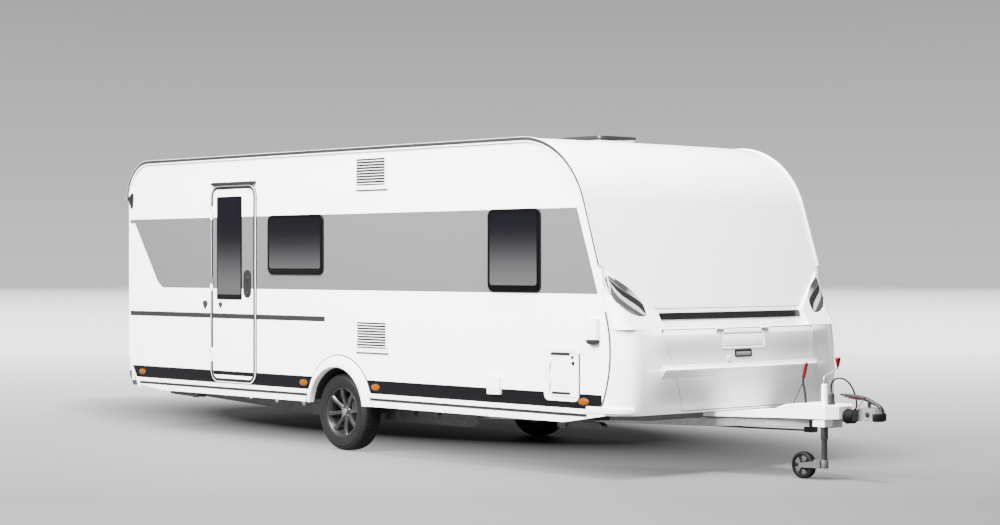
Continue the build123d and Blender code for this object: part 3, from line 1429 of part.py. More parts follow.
# Corner steadies: name, pivot x, pivot y, way the folded leg points
STEADIES = (
    ("front_right", SEAM_X - 725.0, 250.0 - HALF, 1),
    ("front_left", SEAM_X - 725.0, HALF - 250.0, 1),
    ("rear_right", REAR_X + 810.0, 250.0 - HALF, -1),
    ("rear_left", REAR_X + 810.0, HALF - 250.0, -1),
)
STEADY_W = 60.0
with BuildPart() as mounts:
    for name, x, y, way in STEADIES:
        with BuildSketch(Plane.XZ.offset(-y - STEADY_W / 2 - 14)):
            with BuildLine():
                Polyline(
                    (x - way * 40, FLOOR_Z),
                    (x - way * 40, STEADY_Z - 28),
                    (x + way * 40, STEADY_Z - 28),
                    (x + way * 80, FLOOR_Z - 8),
                    (x + way * 420, FLOOR_Z - 8),
                    (x + way * 420, FLOOR_Z),
                    close=True,
                )
            make_face()
        extrude(amount=STEADY_W + 28)
        with BuildSketch(Plane.XZ.offset(-y - STEADY_W / 2 - 5)):
            with BuildLine():
                Polyline(
                    (x - way * 200, FLOOR_Z - 8),
                    (x - way * 200, 200),
                    (x + way * 430, 200),
                    (x + way * 430, FLOOR_Z - 8),
                    close=True,
                )
            make_face()
        extrude(amount=STEADY_W + 10, mode=Mode.SUBTRACT)
        with BuildSketch(Plane.XZ.offset(-y - STEADY_W / 2 - 10)):
            with Locations((x, STEADY_Z)):
                Circle(STEADY_PIN_R)
        extrude(amount=STEADY_W + 20)
save(mounts.part, "steady_mounts")

for name, x, y, way in STEADIES:
    with BuildPart() as steady:
        with BuildSketch(Plane.XZ.offset(-y - STEADY_W / 2)):
            with BuildLine():
                Polyline(
                    (x - way * 22, STEADY_Z - 24),
                    (x - way * 22, STEADY_Z + 24),
                    (x + way * 60, STEADY_Z + 34),
                    (x + way * (STEADY_LEN - 40), STEADY_Z + 30),
                    (x + way * STEADY_LEN, STEADY_Z + 8),
                    (x + way * STEADY_LEN, STEADY_Z - 10),
                    (x + way * (STEADY_LEN - 60), STEADY_Z - 14),
                    (x + way * 60, STEADY_Z - 24),
                    close=True,
                )
            make_face()
            with Locations((x, STEADY_Z)):
                Circle(STEADY_PIN_R + RUN_GAP, mode=Mode.SUBTRACT)
        extrude(amount=STEADY_W)
    save(steady.part, "steady_" + name)
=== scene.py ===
from math import cos, pi, radians, sin

import bmesh
import bpy
import numpy as np
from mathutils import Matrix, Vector


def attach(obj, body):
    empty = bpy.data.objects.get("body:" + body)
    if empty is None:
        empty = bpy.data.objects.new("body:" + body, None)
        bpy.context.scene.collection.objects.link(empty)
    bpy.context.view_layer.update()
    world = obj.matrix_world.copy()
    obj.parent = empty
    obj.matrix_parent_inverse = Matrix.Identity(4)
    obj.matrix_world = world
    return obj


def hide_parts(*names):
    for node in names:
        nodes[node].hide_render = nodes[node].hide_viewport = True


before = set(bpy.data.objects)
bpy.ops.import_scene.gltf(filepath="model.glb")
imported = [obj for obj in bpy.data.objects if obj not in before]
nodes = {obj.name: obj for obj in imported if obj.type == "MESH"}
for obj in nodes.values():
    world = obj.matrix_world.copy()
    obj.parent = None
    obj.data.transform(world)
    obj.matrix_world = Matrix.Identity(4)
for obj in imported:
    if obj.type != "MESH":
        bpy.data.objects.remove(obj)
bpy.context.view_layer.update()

# Side walls and the entry door's leaf
# Smooth white sheet bonded flat on foam. A grey belt, a thin dark stripe and a black foot band are films
# laid on the sheet, and they run on across the door.
HALF = 1.250
WALL_WHITE = (0.92, 0.92, 0.92)
BELT_GREY = (0.088, 0.088, 0.090)
STRIPE_GREY = (0.016, 0.016, 0.017)
BAND_BLACK = (0.0035, 0.0035, 0.004)
BELT_Z = (1.359, 2.001)
BELT_REAR = (-3.858, 1.966, -3.431, 1.364)
BELT_CORNER_Z = 1.44
BELT_CORNER_BEND = 7.0
BELT_FRONT = (2.131, 1.997, 2.350, 1.360)
BELT_TAIL = (-3.935, -3.0, 1.965)
STRIPE = (-3.935, -0.914, 1.089, 1.134)
BAND_Z = (0.506, 0.617)
BAND_REAR = (-3.894, 0.616, -3.825, 0.504)
BAND_FRONT_X = 2.391
DOOR_BAND_LOW = 0.580


def finish(name, colour, rough, metallic=0.0, coat=0.0):
    """A new node material with one principled shader; returns material, node tree and shader."""
    material = bpy.data.materials.new(name)
    material.use_nodes = True
    tree = material.node_tree
    shader = tree.nodes["Principled BSDF"]
    shader.inputs["Base Color"].default_value = (*colour, 1.0)
    shader.inputs["Roughness"].default_value = rough
    shader.inputs["Metallic"].default_value = metallic
    shader.inputs["Coat Weight"].default_value = coat
    shader.inputs["Coat Roughness"].default_value = 0.08
    material.diffuse_color = (*colour, 1.0)
    return material, tree, shader


def place(tree):
    """The Object coordinates of the piece, as X, Y and Z sockets and as one vector socket."""
    coordinate = tree.nodes.new("ShaderNodeTexCoord")
    split = tree.nodes.new("ShaderNodeSeparateXYZ")
    tree.links.new(coordinate.outputs["Object"], split.inputs[0])
    return split.outputs["X"], split.outputs["Y"], split.outputs["Z"], coordinate.outputs["Object"]


def feed(tree, value, socket):
    """Links a socket or sets a number on a node's input."""
    if isinstance(value, (int, float)):
        socket.default_value = value
    else:
        tree.links.new(value, socket)


def work(tree, operation, a, b=0.0):
    """One math node on two sockets or numbers."""
    node = tree.nodes.new("ShaderNodeMath")
    node.operation = operation
    feed(tree, a, node.inputs[0])
    feed(tree, b, node.inputs[1])
    return node.outputs[0]


def between(tree, value, low, high):
    """One where value lies between low and high, which may be sockets, and zero elsewhere."""
    above = work(tree, "GREATER_THAN", value, low)
    below = work(tree, "LESS_THAN", value, high)
    return work(tree, "MULTIPLY", above, below)


def within(tree, x, x0, x1, z, z0, z1):
    """One inside a rectangle of X and Z and zero outside."""
    return work(tree, "MULTIPLY", between(tree, x, x0, x1), between(tree, z, z0, z1))


def line_x(tree, height, x0, z0, x1, z1):
    """X of the straight line through two points at a height."""
    slope = (x1 - x0) / (z1 - z0)
    return work(tree, "ADD", work(tree, "MULTIPLY", height, slope), x0 - slope * z0)


def blend_colour(tree, share, below, above):
    """Mixes two colours, given as sockets or triples, by a share socket."""
    mix = tree.nodes.new("ShaderNodeMix")
    mix.data_type = "RGBA"
    tree.links.new(share, mix.inputs["Factor"])
    for value, socket in ((below, mix.inputs[6]), (above, mix.inputs[7])):
        if isinstance(value, tuple):
            socket.default_value = (*value, 1.0)
        else:
            tree.links.new(value, socket)
    return mix.outputs[2]


def clouds(tree, vector, scale, detail=2.0):
    """A noise value from 0 to 1 at a scale per metre."""
    noise = tree.nodes.new("ShaderNodeTexNoise")
    noise.inputs["Scale"].default_value = scale
    noise.inputs["Detail"].default_value = detail
    tree.links.new(vector, noise.inputs["Vector"])
    return noise.outputs["Fac"]


def spread(tree, value, low, high, start=0.0, end=1.0):
    """Carries a value from start..end to low..high, held at both ends."""
    span = tree.nodes.new("ShaderNodeMapRange")
    span.inputs["From Min"].default_value = start
    span.inputs["From Max"].default_value = end
    span.inputs["To Min"].default_value = low
    span.inputs["To Max"].default_value = high
    tree.links.new(value, span.inputs["Value"])
    return span.outputs["Result"]


def relief(tree, shader, height, depth, strength=1.0):
    """Bump of a height socket, depth in metres."""
    bump = tree.nodes.new("ShaderNodeBump")
    bump.inputs["Strength"].default_value = strength
    bump.inputs["Distance"].default_value = depth
    tree.links.new(height, bump.inputs["Height"])
    tree.links.new(bump.outputs["Normal"], shader.inputs["Normal"])


def toned(colour, share):
    """A colour made darker or lighter by a share, white at most."""
    return tuple(min(1.0, share * c) for c in colour)


def sheet_finish(name, colour, rough=0.22, gloss=0.06):
    """Paint on sheet: long faint waves, fine orange peel and a little haze in the gloss."""
    material, tree, shader = finish(name, colour, rough)
    shader.inputs["Specular IOR Level"].default_value = gloss
    vector = place(tree)[-1]
    haze = clouds(tree, vector, 3.0, 3.0)
    tree.links.new(spread(tree, haze, rough - 0.05, rough + 0.09), shader.inputs["Roughness"])
    waves = work(tree, "MULTIPLY", clouds(tree, vector, 1.3), 9.0)
    relief(tree, shader, work(tree, "ADD", clouds(tree, vector, 420.0, 1.0), waves), 0.00008, 0.5)
    tint = blend_colour(tree, clouds(tree, vector, 0.9), colour, toned(colour, 0.985))
    tree.links.new(tint, shader.inputs["Base Color"])
    return material, tree, shader, tint


def decorated(name, band_low=BAND_Z[0]):
    """White sheet with the belt, stripe and band laid out on X and Z; the band starts at band_low."""
    material, tree, shader, white = sheet_finish(name, WALL_WHITE)
    x, y, z, vector = place(tree)
    corner = work(tree, "MAXIMUM", work(tree, "SUBTRACT", BELT_CORNER_Z, z), 0.0)
    rounding = work(tree, "MULTIPLY", work(tree, "POWER", corner, 2.0), BELT_CORNER_BEND)
    rear_edge = work(tree, "ADD", line_x(tree, z, *BELT_REAR), rounding)
    belt = within(tree, x, rear_edge, line_x(tree, z, *BELT_FRONT), z, *BELT_Z)
    tail = within(tree, x, BELT_TAIL[0], BELT_TAIL[1], z, BELT_TAIL[2], BELT_Z[1])
    stripe = within(tree, x, *STRIPE[:2], z, *STRIPE[2:])
    band = within(tree, x, line_x(tree, z, *BAND_REAR), BAND_FRONT_X, z, band_low, BAND_Z[1])
    colour = blend_colour(tree, work(tree, "MAXIMUM", belt, tail), white, BELT_GREY)
    colour = blend_colour(tree, stripe, colour, STRIPE_GREY)
    colour = blend_colour(tree, band, colour, BAND_BLACK)
    tree.links.new(colour, shader.inputs["Base Color"])
    return material


def coat_nodes(material, *names):
    """Gives CAD nodes one material."""
    for name in names:
        mesh = nodes[name].data
        mesh.materials.clear()
        mesh.materials.append(material)


coat_nodes(decorated("decorated_white_sheet"), "side_wall_right", "side_wall_left")
coat_nodes(decorated("decorated_door_sheet", DOOR_BAND_LOW), "door_leaf")

# Roof, rear wall and front
# Moulded white panels: roof and rear in the wall's sheet, and the front slant, nose, lamp pods and
# locker lid in glass-fibre with a slightly cooler gel coat.
ROOF_WHITE = (0.86, 0.86, 0.86)
FRONT_WHITE = (0.84, 0.84, 0.845)
FRONT_ROUGH = 0.18
FRONT_GLOSS = 0.5
coat_nodes(sheet_finish("roof_white_sheet", ROOF_WHITE, 0.28)[0], "roof_panel", "rear_wall")
front_paint = sheet_finish("front_gel_coat", FRONT_WHITE, FRONT_ROUGH, FRONT_GLOSS)[0]
coat_nodes(front_paint, "front_panel", "lamp_pods")

# Nose and gas locker lid
# The same gel coat with the moulding's soft form: a shoulder below the black strip, a shallow scoop
# under it, and a crease with a second scoop below.
NOSE_BOW = 0.13
NOSE_FORM = (
    (1.050, 1.112, -0.036), (0.860, 1.050, 0.026), (0.786, 0.816, -0.013), (0.520, 0.786, 0.050),
)
NOSE_FORM_Y = (0.86, 1.08)


def nose_paint(name):
    """Gel coat bent by a height in metres: a bow in Y, and smooth steps along Z (start, end, rise)
    that fade out at the corners."""
    material, tree, shader, white = sheet_finish(name, FRONT_WHITE, FRONT_ROUGH, FRONT_GLOSS)
    x, y, z, vector = place(tree)
    height = work(tree, "MULTIPLY", work(tree, "POWER", y, 2.0), -NOSE_BOW)
    middle = spread(tree, work(tree, "ABSOLUTE", y), 1.0, 0.0, *NOSE_FORM_Y)
    for low, high, rise in NOSE_FORM:
        step = spread(tree, z, 0.0, rise, low, high)
        step.node.interpolation_type = "SMOOTHSTEP"
        height = work(tree, "ADD", height, work(tree, "MULTIPLY", step, middle))
    relief(tree, shader, height, 1.0)
    return material


coat_nodes(nose_paint("nose_gel_coat"), "nose_panel", "locker_lid")

# White trim: door frame, hatch frames, corner caps, bumper and drawbar cover
# Extruded and moulded plastic, a little duller than the walls, with a fine moulded grain.
TRIM_WHITE = (0.84, 0.84, 0.835)


def moulded(name, colour, rough=0.38, grain=900.0, depth=0.00015, gloss=0.25):
    """Moulded plastic or rubber: fine grain in the surface and a slow change of gloss and tone."""
    material, tree, shader = finish(name, colour, rough)
    shader.inputs["Specular IOR Level"].default_value = gloss
    vector = place(tree)[-1]
    cloud = clouds(tree, vector, 14.0, 3.0)
    tree.links.new(spread(tree, cloud, rough - 0.06, rough + 0.08), shader.inputs["Roughness"])
    tone = blend_colour(tree, cloud, toned(colour, 0.93), toned(colour, 1.04))
    tree.links.new(tone, shader.inputs["Base Color"])
    relief(tree, shader, clouds(tree, vector, grain, 2.0), depth, 0.4)
    return material


def two_tone(name, colour, other, mask_of, rough=0.38):
    """Moulded plastic with a second colour where mask_of(tree, x, y, z) is one."""
    material = moulded(name, colour, rough)
    tree = material.node_tree
    shader = tree.nodes["Principled BSDF"]
    mask = mask_of(tree, *place(tree)[:3])
    plain = shader.inputs["Base Color"].links[0].from_socket
    tree.links.new(blend_colour(tree, mask, plain, other), shader.inputs["Base Color"])
    return material


def soften(width, *names):
    """Welds CAD nodes and rounds their sharp edges by a width."""
    for name in names:
        weld = nodes[name].modifiers.new("weld", "WELD")
        weld.merge_threshold = 1e-5
        bevel = nodes[name].modifiers.new("rounded_edges", "BEVEL")
        bevel.width = width
        bevel.segments = 3
        bevel.limit_method = "ANGLE"
        bevel.angle_limit = radians(40.0)
        bevel.harden_normals = True


trim_white = moulded("trim_white_plastic", TRIM_WHITE)
coat_nodes(
    trim_white, "corner_caps", "door_frame", "service_frame", "service_door", "drawbar_cover", "jockey_clamp",
)
soften(0.009, "corner_caps")

# Skirts
# Extruded profile along the foot of the wall, with a long groove that lies in shadow; that shadow is painted
# dark on the groove and a little past its lips.
GROOVE_SHADE_Z = (0.4480, 0.4720)
GROOVE_SHADE_GREY = (0.016, 0.016, 0.0165)


def skirt_groove_shade(tree, x, y, z):
    """One on the groove and a little past its two lips, where its shadow is painted."""
    return between(tree, z, *GROOVE_SHADE_Z)


coat_nodes(two_tone("skirt_white", TRIM_WHITE, GROOVE_SHADE_GREY, skirt_groove_shade), "side_skirts")

# Rear bumper
# One moulding across the back, white with a black foot.
BUMPER_BLACK_Z = 0.56
BUMPER_BLACK = (0.03, 0.03, 0.032)


def bumper_foot(tree, x, y, z):
    """One below the moulding's colour line."""
    return work(tree, "LESS_THAN", z, BUMPER_BLACK_Z)


coat_nodes(two_tone("bumper_white", TRIM_WHITE, BUMPER_BLACK, bumper_foot), "rear_bumper")

# Wall fittings: mains inlet, water filler and the rain strip over the door
# White moulded boxes screwed to the wall, with painted shade at the foot of the inlet's hood. The strip over
# the door is dark anodised.
RAIN_STRIP_Z = 2.25
INLET_SHADE_FOOT = (2.240, 2.380, 1.000, 1.024)
FITTING_DARK_AND_SHADE = (0.014, 0.014, 0.0145)


def dark_strip_and_inlet_shade(tree, x, y, z):
    """One on the strip over the door, and at the foot of the mains inlet's hood, where shade is painted."""
    strip = work(tree, "GREATER_THAN", z, RAIN_STRIP_Z)
    return work(tree, "MAXIMUM", strip, within(tree, x, *INLET_SHADE_FOOT[:2], z, *INLET_SHADE_FOOT[2:]))


coat_nodes(two_tone("fitting_white", TRIM_WHITE, FITTING_DARK_AND_SHADE, dark_strip_and_inlet_shade), "wall_fittings")

# Rain strip
# A dark anodised angle over the door that throws drips clear of the frame.
RAIN_STRIP = (-2.548, -1.902, 2.286, 2.314)
RAIN_STRIP_DEEP = 0.028


def grid_quads(rows, columns, around, start):
    """Corner numbers of the quads of a point grid whose first point has the number start."""
    index = np.arange(rows * columns).reshape(rows, columns) + start
    if around:
        index = np.concatenate([index, index[:, :1]], axis=1)
    quads = np.stack([index[:-1, :-1], index[:-1, 1:], index[1:, 1:], index[1:, :-1]], axis=-1)
    return quads.reshape(-1, 4).tolist(), index[0].tolist(), index[-1].tolist()


def piece(name, body, slot, material, *grids, sharp=38.0, ends=True, around=True, tint=None):
    """One mesh from point grids of rows by columns, riding on a body.

    Each grid's columns close on themselves when around is set and its first and last row are filled
    when ends is set. tint, a share for each point, becomes the attribute of that name.
    """
    points = []
    faces = []
    start = 0
    for grid in grids:
        rows, columns, _ = grid.shape
        quads, first, last = grid_quads(rows, columns, around, start)
        faces += quads
        if ends and around:
            faces += [first[:-1], last[:-1]]
        points.append(grid.reshape(-1, 3))
        start += rows * columns
    mesh = bpy.data.meshes.new(name)
    mesh.from_pydata(np.concatenate(points), [], faces)
    if tint is not None:
        shares = mesh.attributes.new("tint", "FLOAT", "POINT")
        shares.data.foreach_set("value", np.ascontiguousarray(tint, dtype=np.float32).ravel())
    shell = bmesh.new()
    shell.from_mesh(mesh)
    bmesh.ops.remove_doubles(shell, verts=shell.verts, dist=1e-6)
    bmesh.ops.dissolve_degenerate(shell, edges=shell.edges, dist=1e-6)
    bmesh.ops.recalc_face_normals(shell, faces=shell.faces)
    shell.to_mesh(mesh)
    shell.free()
    mesh.polygons.foreach_set("use_smooth", np.ones(len(mesh.polygons), dtype=bool))
    mesh.set_sharp_from_angle(angle=radians(sharp))
    mesh.materials.append(material)
    made = bpy.data.objects.new(name, mesh)
    bpy.context.scene.collection.objects.link(made)
    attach(made, body)
    return made


def rounded(x0, x1, z0, z1, radius, steps=7):
    """Closed outline of a rectangle whose corners are quarter circles, as points (x, z)."""
    angle = np.linspace(0.0, pi / 2, steps)[None, :] + np.arange(4)[:, None] * (pi / 2)
    middle = np.array([[x1, z1], [x0, z1], [x0, z0], [x1, z0]], dtype=float)
    inward = np.array([[-1, -1], [1, -1], [1, 1], [-1, 1]], dtype=float) * radius
    corner = (middle + inward)[:, None, :] + radius * np.stack([np.cos(angle), np.sin(angle)], axis=-1)
    return corner.reshape(-1, 2)


def oval(x, z, half_x, half_z, power=2.0, steps=48):
    """Closed outline of a superellipse round a point: each cosine and sine to the power 2 / power."""
    angle = np.linspace(0.0, 2 * pi, steps, endpoint=False)
    reach = np.stack([np.cos(angle), np.sin(angle)], axis=-1)
    reach = np.sign(reach) * np.abs(reach) ** (2.0 / power)
    return np.array([x, z]) + reach * np.array([half_x, half_z])


def crowned(outline, rise, depth, lip=0.002, power=2.4, rings=8):
    """Rows (u, v, height) of a crowned slab: at a share s of the way out from the middle its height is
    rise x (1 - s to the power), and its side goes down by depth with a small round lip."""
    middle = outline.mean(axis=0)
    share = np.concatenate([[1.0, 1.0], np.linspace(0.995, 0.0, rings)])
    height = np.concatenate([[-depth, -lip], rise * (1.0 - np.linspace(0.995, 0.0, rings) ** power)])
    flat = middle + share[:, None, None] * (outline - middle)[None]
    tall = np.broadcast_to(height[:, None, None], (*flat.shape[:2], 1))
    return np.concatenate([flat, tall], axis=-1)


def on_side(rows, side, out):
    """Carries (u, v, height) rows to a side wall: u to X, v to Z, height outwards from HALF + out."""
    return np.stack([rows[..., 0], -side * (HALF + out + rows[..., 2]), rows[..., 1]], axis=-1)


ANY_SLANT = (0.31, 0.17, 0.94)


def turned(profile, centre, axis, steps=40):
    """Points (radius, place along the axis) turned round an axis through a centre."""
    profile = np.asarray(profile, dtype=float)
    along = np.asarray(axis, dtype=float) / np.linalg.norm(axis)
    first = np.cross(along, ANY_SLANT)
    first /= np.linalg.norm(first)
    second = np.cross(along, first)
    angle = np.linspace(0.0, 2 * pi, steps, endpoint=False)
    ray = np.cos(angle)[:, None] * first + np.sin(angle)[:, None] * second
    return np.asarray(centre) + profile[:, 1, None, None] * along + profile[:, 0, None, None] * ray[None]


def joined(rows):
    """Rows with the first one repeated at the end, so that they close on themselves."""
    return np.concatenate([rows, rows[:1]])


def swept(path, profile, closed=False, up=(0.0, 0.0, 1.0)):
    """A profile (sideways, upwards) carried along a path; sideways is along path x up."""
    path = np.asarray(path, dtype=float)
    ahead = np.roll(path, -1, 0) - np.roll(path, 1, 0) if closed else np.gradient(path, axis=0)
    ahead /= np.linalg.norm(ahead, axis=1, keepdims=True)
    across = np.cross(ahead, up)
    across /= np.linalg.norm(across, axis=1, keepdims=True)
    rise = np.cross(across, ahead)
    profile = np.asarray(profile, dtype=float)
    rows = (
        path[:, None, :]
        + profile[None, :, 0, None] * across[:, None, :]
        + profile[None, :, 1, None] * rise[:, None, :]
    )
    return joined(rows) if closed else rows


def ring(radius, steps=12, flat=1.0):
    """A round profile, or an oval one where flat isn't one."""
    angle = np.linspace(0.0, 2 * pi, steps, endpoint=False)
    return np.stack([radius * np.cos(angle), radius * flat * np.sin(angle)], axis=-1)


def through(points, steps=8):
    """A smooth line through points: Catmull-Rom cubics between neighbours."""
    p = np.asarray(points, dtype=float)
    p = np.concatenate([[2 * p[0] - p[1]], p, [2 * p[-1] - p[-2]]])
    t = np.linspace(0.0, 1.0, steps, endpoint=False)[None, :, None]
    a, b, c, d = (p[i : len(p) - 3 + i, None, :] for i in range(4))
    square = (2 * a - 5 * b + 4 * c - d) * t**2
    cube = (3 * b - a - 3 * c + d) * t**3
    line = 0.5 * (2 * b + (c - a) * t + square + cube)
    return np.concatenate([line.reshape(-1, 3), p[-2:-1]])


# Dark plastic, also used for the dark pieces that are painted shade at the inlet's mouth and in the hatch's
# gaps.
dark_plastic_and_shade = moulded("dark_grey_plastic_and_shade", (0.010, 0.010, 0.0105), 0.5, gloss=0.15)
strip_rows = crowned(rounded(*RAIN_STRIP, 0.006), 0.002, RAIN_STRIP_DEEP)
piece("rain_strip", "caravan", "black_plastic", dark_plastic_and_shade, on_side(strip_rows, 1, RAIN_STRIP_DEEP))

# Mains inlet's mouth
# The hood is open below, where the connector goes in: a dark half round under it is painted shade, standing
# for the opening's shadow.
INLET_MOUTH = (2.312, 1.012)
INLET_MOUTH_HALF = (0.058, 0.026)
INLET_MOUTH_OUT = 0.0325
mouth_angle = np.linspace(pi, 2 * pi, 25)
mouth_reach = np.stack([np.cos(mouth_angle), np.sin(mouth_angle)], axis=-1) * np.array(INLET_MOUTH_HALF)
mouth_shade_rows = crowned(np.array(INLET_MOUTH) + mouth_reach, 0.0005, 0.030)
piece("mains_inlet_mouth_shade", "caravan", "black_plastic", dark_plastic_and_shade, on_side(mouth_shade_rows, 1, INLET_MOUTH_OUT))

# Water filler's flap
# A white flap hinged at its top edge, flush in the filler's box, with a small round lock.
DOOR_SIDE_OUT = (0.0, -1.0, 0.0)
FILLER = (1.170, 1.288, 0.588, 0.700)
FILLER_OUT = 0.0225
FILLER_LOCK = (1.229, -HALF, 0.606)
flap_rows = crowned(rounded(*FILLER, 0.014), 0.0025, 0.004)
piece("water_filler_flap", "caravan", "trim_white", trim_white, on_side(flap_rows, 1, FILLER_OUT))
filler_lock_profile = [(0.0, 0.027), (0.008, 0.0265), (0.010, 0.025), (0.010, 0.020), (0.0, 0.020)]
filler_lock = turned(filler_lock_profile, FILLER_LOCK, DOOR_SIDE_OUT, 24)
piece("water_filler_lock", "caravan", "trim_white", trim_white, filler_lock)

# Fridge vents
# White louvred covers over the fridge's two wall openings: a frame with nine sloping blades over a
# dark sheet that is painted shade in the openings, and a grey line along its foot that is a painted shadow.
VENTS = ((-0.490, -0.078, 2.196, 2.466), (-0.482, -0.066, 0.846, 1.108))
VENT_BORDER = (0.014, 0.030, 0.036, 0.012)
VENT_BLADES = 9
VENT_SECTION = np.array([(0.0075, 0.0), (0.0155, 0.0), (0.0155, 0.002), (0.0085, 0.006), (0.0075, 0.006)])
vent_plates = []
vent_slot_shades = []
vent_blades = []
vent_foot_shadows = []
for x0, x1, z0, z1 in VENTS:
    vent_plates.append(on_side(crowned(rounded(x0, x1, z0, z1, 0.012), 0.001, 0.006), 1, 0.006))
    slot_x = (x0 + VENT_BORDER[0], x1 - VENT_BORDER[1])
    slot_z = (z0 + VENT_BORDER[2], z1 - VENT_BORDER[3])
    # Painted shade: a dark sheet behind the blades stands for the shade in the openings.
    vent_slot_shades.append(on_side(crowned(rounded(*slot_x, *slot_z, 0.004), 0.0004, 0.004), 1, 0.008))
    pitch = (slot_z[1] - slot_z[0]) / (VENT_BLADES + 0.5)
    for blade in range(VENT_BLADES):
        out, up = (VENT_SECTION + np.array([0.0, slot_z[0] + pitch * (blade + 0.55)])).T
        blade_ends = [
            np.stack([np.full_like(out, x), -HALF - out, up], axis=-1)
            for x in (slot_x[0] - 0.001, slot_x[1] + 0.001)
        ]
        vent_blades.append(np.stack(blade_ends))
    # Painted shadow: a grey tube under the cover's foot.
    foot_shadow_line = np.array([(x, -HALF - 0.004, z0 - 0.004) for x in (x0 + 0.004, x1 - 0.002)])
    vent_foot_shadows.append(swept(foot_shadow_line, ring(0.0065, 10), up=DOOR_SIDE_OUT))
vents = piece("vent_covers", "caravan", "trim_white", trim_white, *vent_plates, *vent_blades, sharp=30.0)
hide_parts("fridge_vents")
grille_shade = moulded("grille_shade", (0.004, 0.004, 0.0042), 0.6, gloss=0.1)
piece("vent_slot_shades", "caravan", "black_plastic", grille_shade, *vent_slot_shades)
foot_shadow_grey = moulded("foot_shadow_grey", (0.022, 0.022, 0.0225), 0.6)
piece("vent_foot_shadow_lines", "caravan", "rail_grey", foot_shadow_grey, *vent_foot_shadows)

# Edge rails
# White enamelled aluminium section over the joint of wall and roof, with a dark strip along its awning
# groove that follows the wall's outline a little way in: painted shade standing for the groove's shadow.
ROOF_Z = 2.545
REAR_ARC = (-3.615, 2.200, 0.345)
FRONT_ARC = (1.5458, 1.830, 0.715)
RAKE = radians(18.0)
RAIL_FACE = HALF + 0.018
RAIL_REAR_Z = 2.182
RAIL_FRONT_Z = 1.572
AWNING_SHADE_IN = 0.0075
AWNING_SHADE_HALF = 0.013
AWNING_SHADE_THIN = 0.62
AWNING_SHADE_TAPER = (1.60, 2.30)
coat_nodes(moulded("rail_white_enamel", (0.80, 0.80, 0.80), 0.3), "edge_rails")


def arc(centre_x, centre_z, radius, start, end, steps=25):
    """Points (x, z) of a circle's arc between two angles in radians."""
    angle = np.linspace(start, end, steps)
    return np.stack([centre_x + radius * np.cos(angle), centre_z + radius * np.sin(angle)], axis=-1)


def rail_line(inside):
    """The wall's outline from the rear edge over the roof to the lamp pod, moved in by a distance."""
    rear = arc(REAR_ARC[0], REAR_ARC[1], REAR_ARC[2] - inside, pi, pi / 2)
    front = arc(FRONT_ARC[0], FRONT_ARC[1], FRONT_ARC[2] - inside, pi / 2, RAKE)
    top = np.linspace(rear[-1], front[0], 40)[1:-1]
    foot_x = front[-1, 0] + (front[-1, 1] - RAIL_FRONT_Z) * sin(RAKE) / cos(RAKE)
    foot = np.linspace(front[-1], (foot_x, RAIL_FRONT_Z), 8)[1:]
    return np.concatenate([[(rear[0, 0], RAIL_REAR_Z)], rear, top, front, foot])


def on_plane_y(line, y):
    """Carries (x, z) points to a plane of constant Y."""
    return np.insert(np.asarray(line, dtype=float), 1, y, axis=1)


def thinned(rows, path, share):
    """Rows drawn in towards the path that they follow, in X and Z, by a share for each row."""
    share = np.asarray(share)[:, None, None]
    middle = np.asarray(path)[:, None, :]
    return middle + (rows - middle) * np.concatenate([share, np.ones_like(share), share], axis=-1)


# Painted shade: a dark strip along the awning groove, narrower past the front corner.
awning_shade_line = rail_line(AWNING_SHADE_IN)
awning_shade_profile = rounded(-AWNING_SHADE_HALF, AWNING_SHADE_HALF, -0.002, 0.0012, 0.0008, 3)
awning_shade_along = awning_shade_line[:, 0] + (ROOF_Z - awning_shade_line[:, 1])
awning_shade_share = np.interp(awning_shade_along, AWNING_SHADE_TAPER, (1.0, AWNING_SHADE_THIN))
awning_shade_rows = []
for side in (1, -1):
    awning_shade_path = on_plane_y(awning_shade_line, -side * RAIL_FACE)
    awning_shade_wide = swept(awning_shade_path, awning_shade_profile, up=(0.0, -side, 0.0))
    awning_shade_rows.append(thinned(awning_shade_wide, awning_shade_path, awning_shade_share))
# Grey for the groove's painted shade, and for the dark beads round the door and the arches.
shade_and_bead_grey = moulded("awning_shade_and_bead_grey", (0.013, 0.013, 0.0135), 0.5)
piece("awning_groove_shades", "caravan", "rail_grey", shade_and_bead_grey, *awning_shade_rows)

# Windows
# Double acrylic panes blown slightly outwards, in black frames. The rim of each pane is printed
# black, wider at the foot, and a painted reflection makes the tint darker towards the top and grey below.
FRAME_FACE = 0.0142
PANE_T = 0.0045
PANE_RISE = 0.0035
PANE_BORDER = 0.030
PANE_FOOT = 0.022
PANE_RADIUS = 0.055
PRINT_EDGE = 0.0004
PRINT_BLACK = (0.0015, 0.0015, 0.0018)
REFLECTION_TOP_DARK = (0.0025, 0.0025, 0.0035)
PANES_RIGHT = ((-1.713, -0.927, 1.490, 2.004), (1.159, 1.745, 1.366, 2.004))
PANES_LEFT = (
    (1.159, 1.745, 1.366, 2.004), (-0.700, 0.300, 1.490, 2.004), (-3.000, -2.214, 1.490, 2.004),
)
PANE_REAR = (-0.480, 0.480, 1.480, 1.990)
REAR_X = -3.960
black_plastic = moulded("black_plastic", (0.008, 0.008, 0.009), 0.42)
coat_nodes(black_plastic, "window_frames")


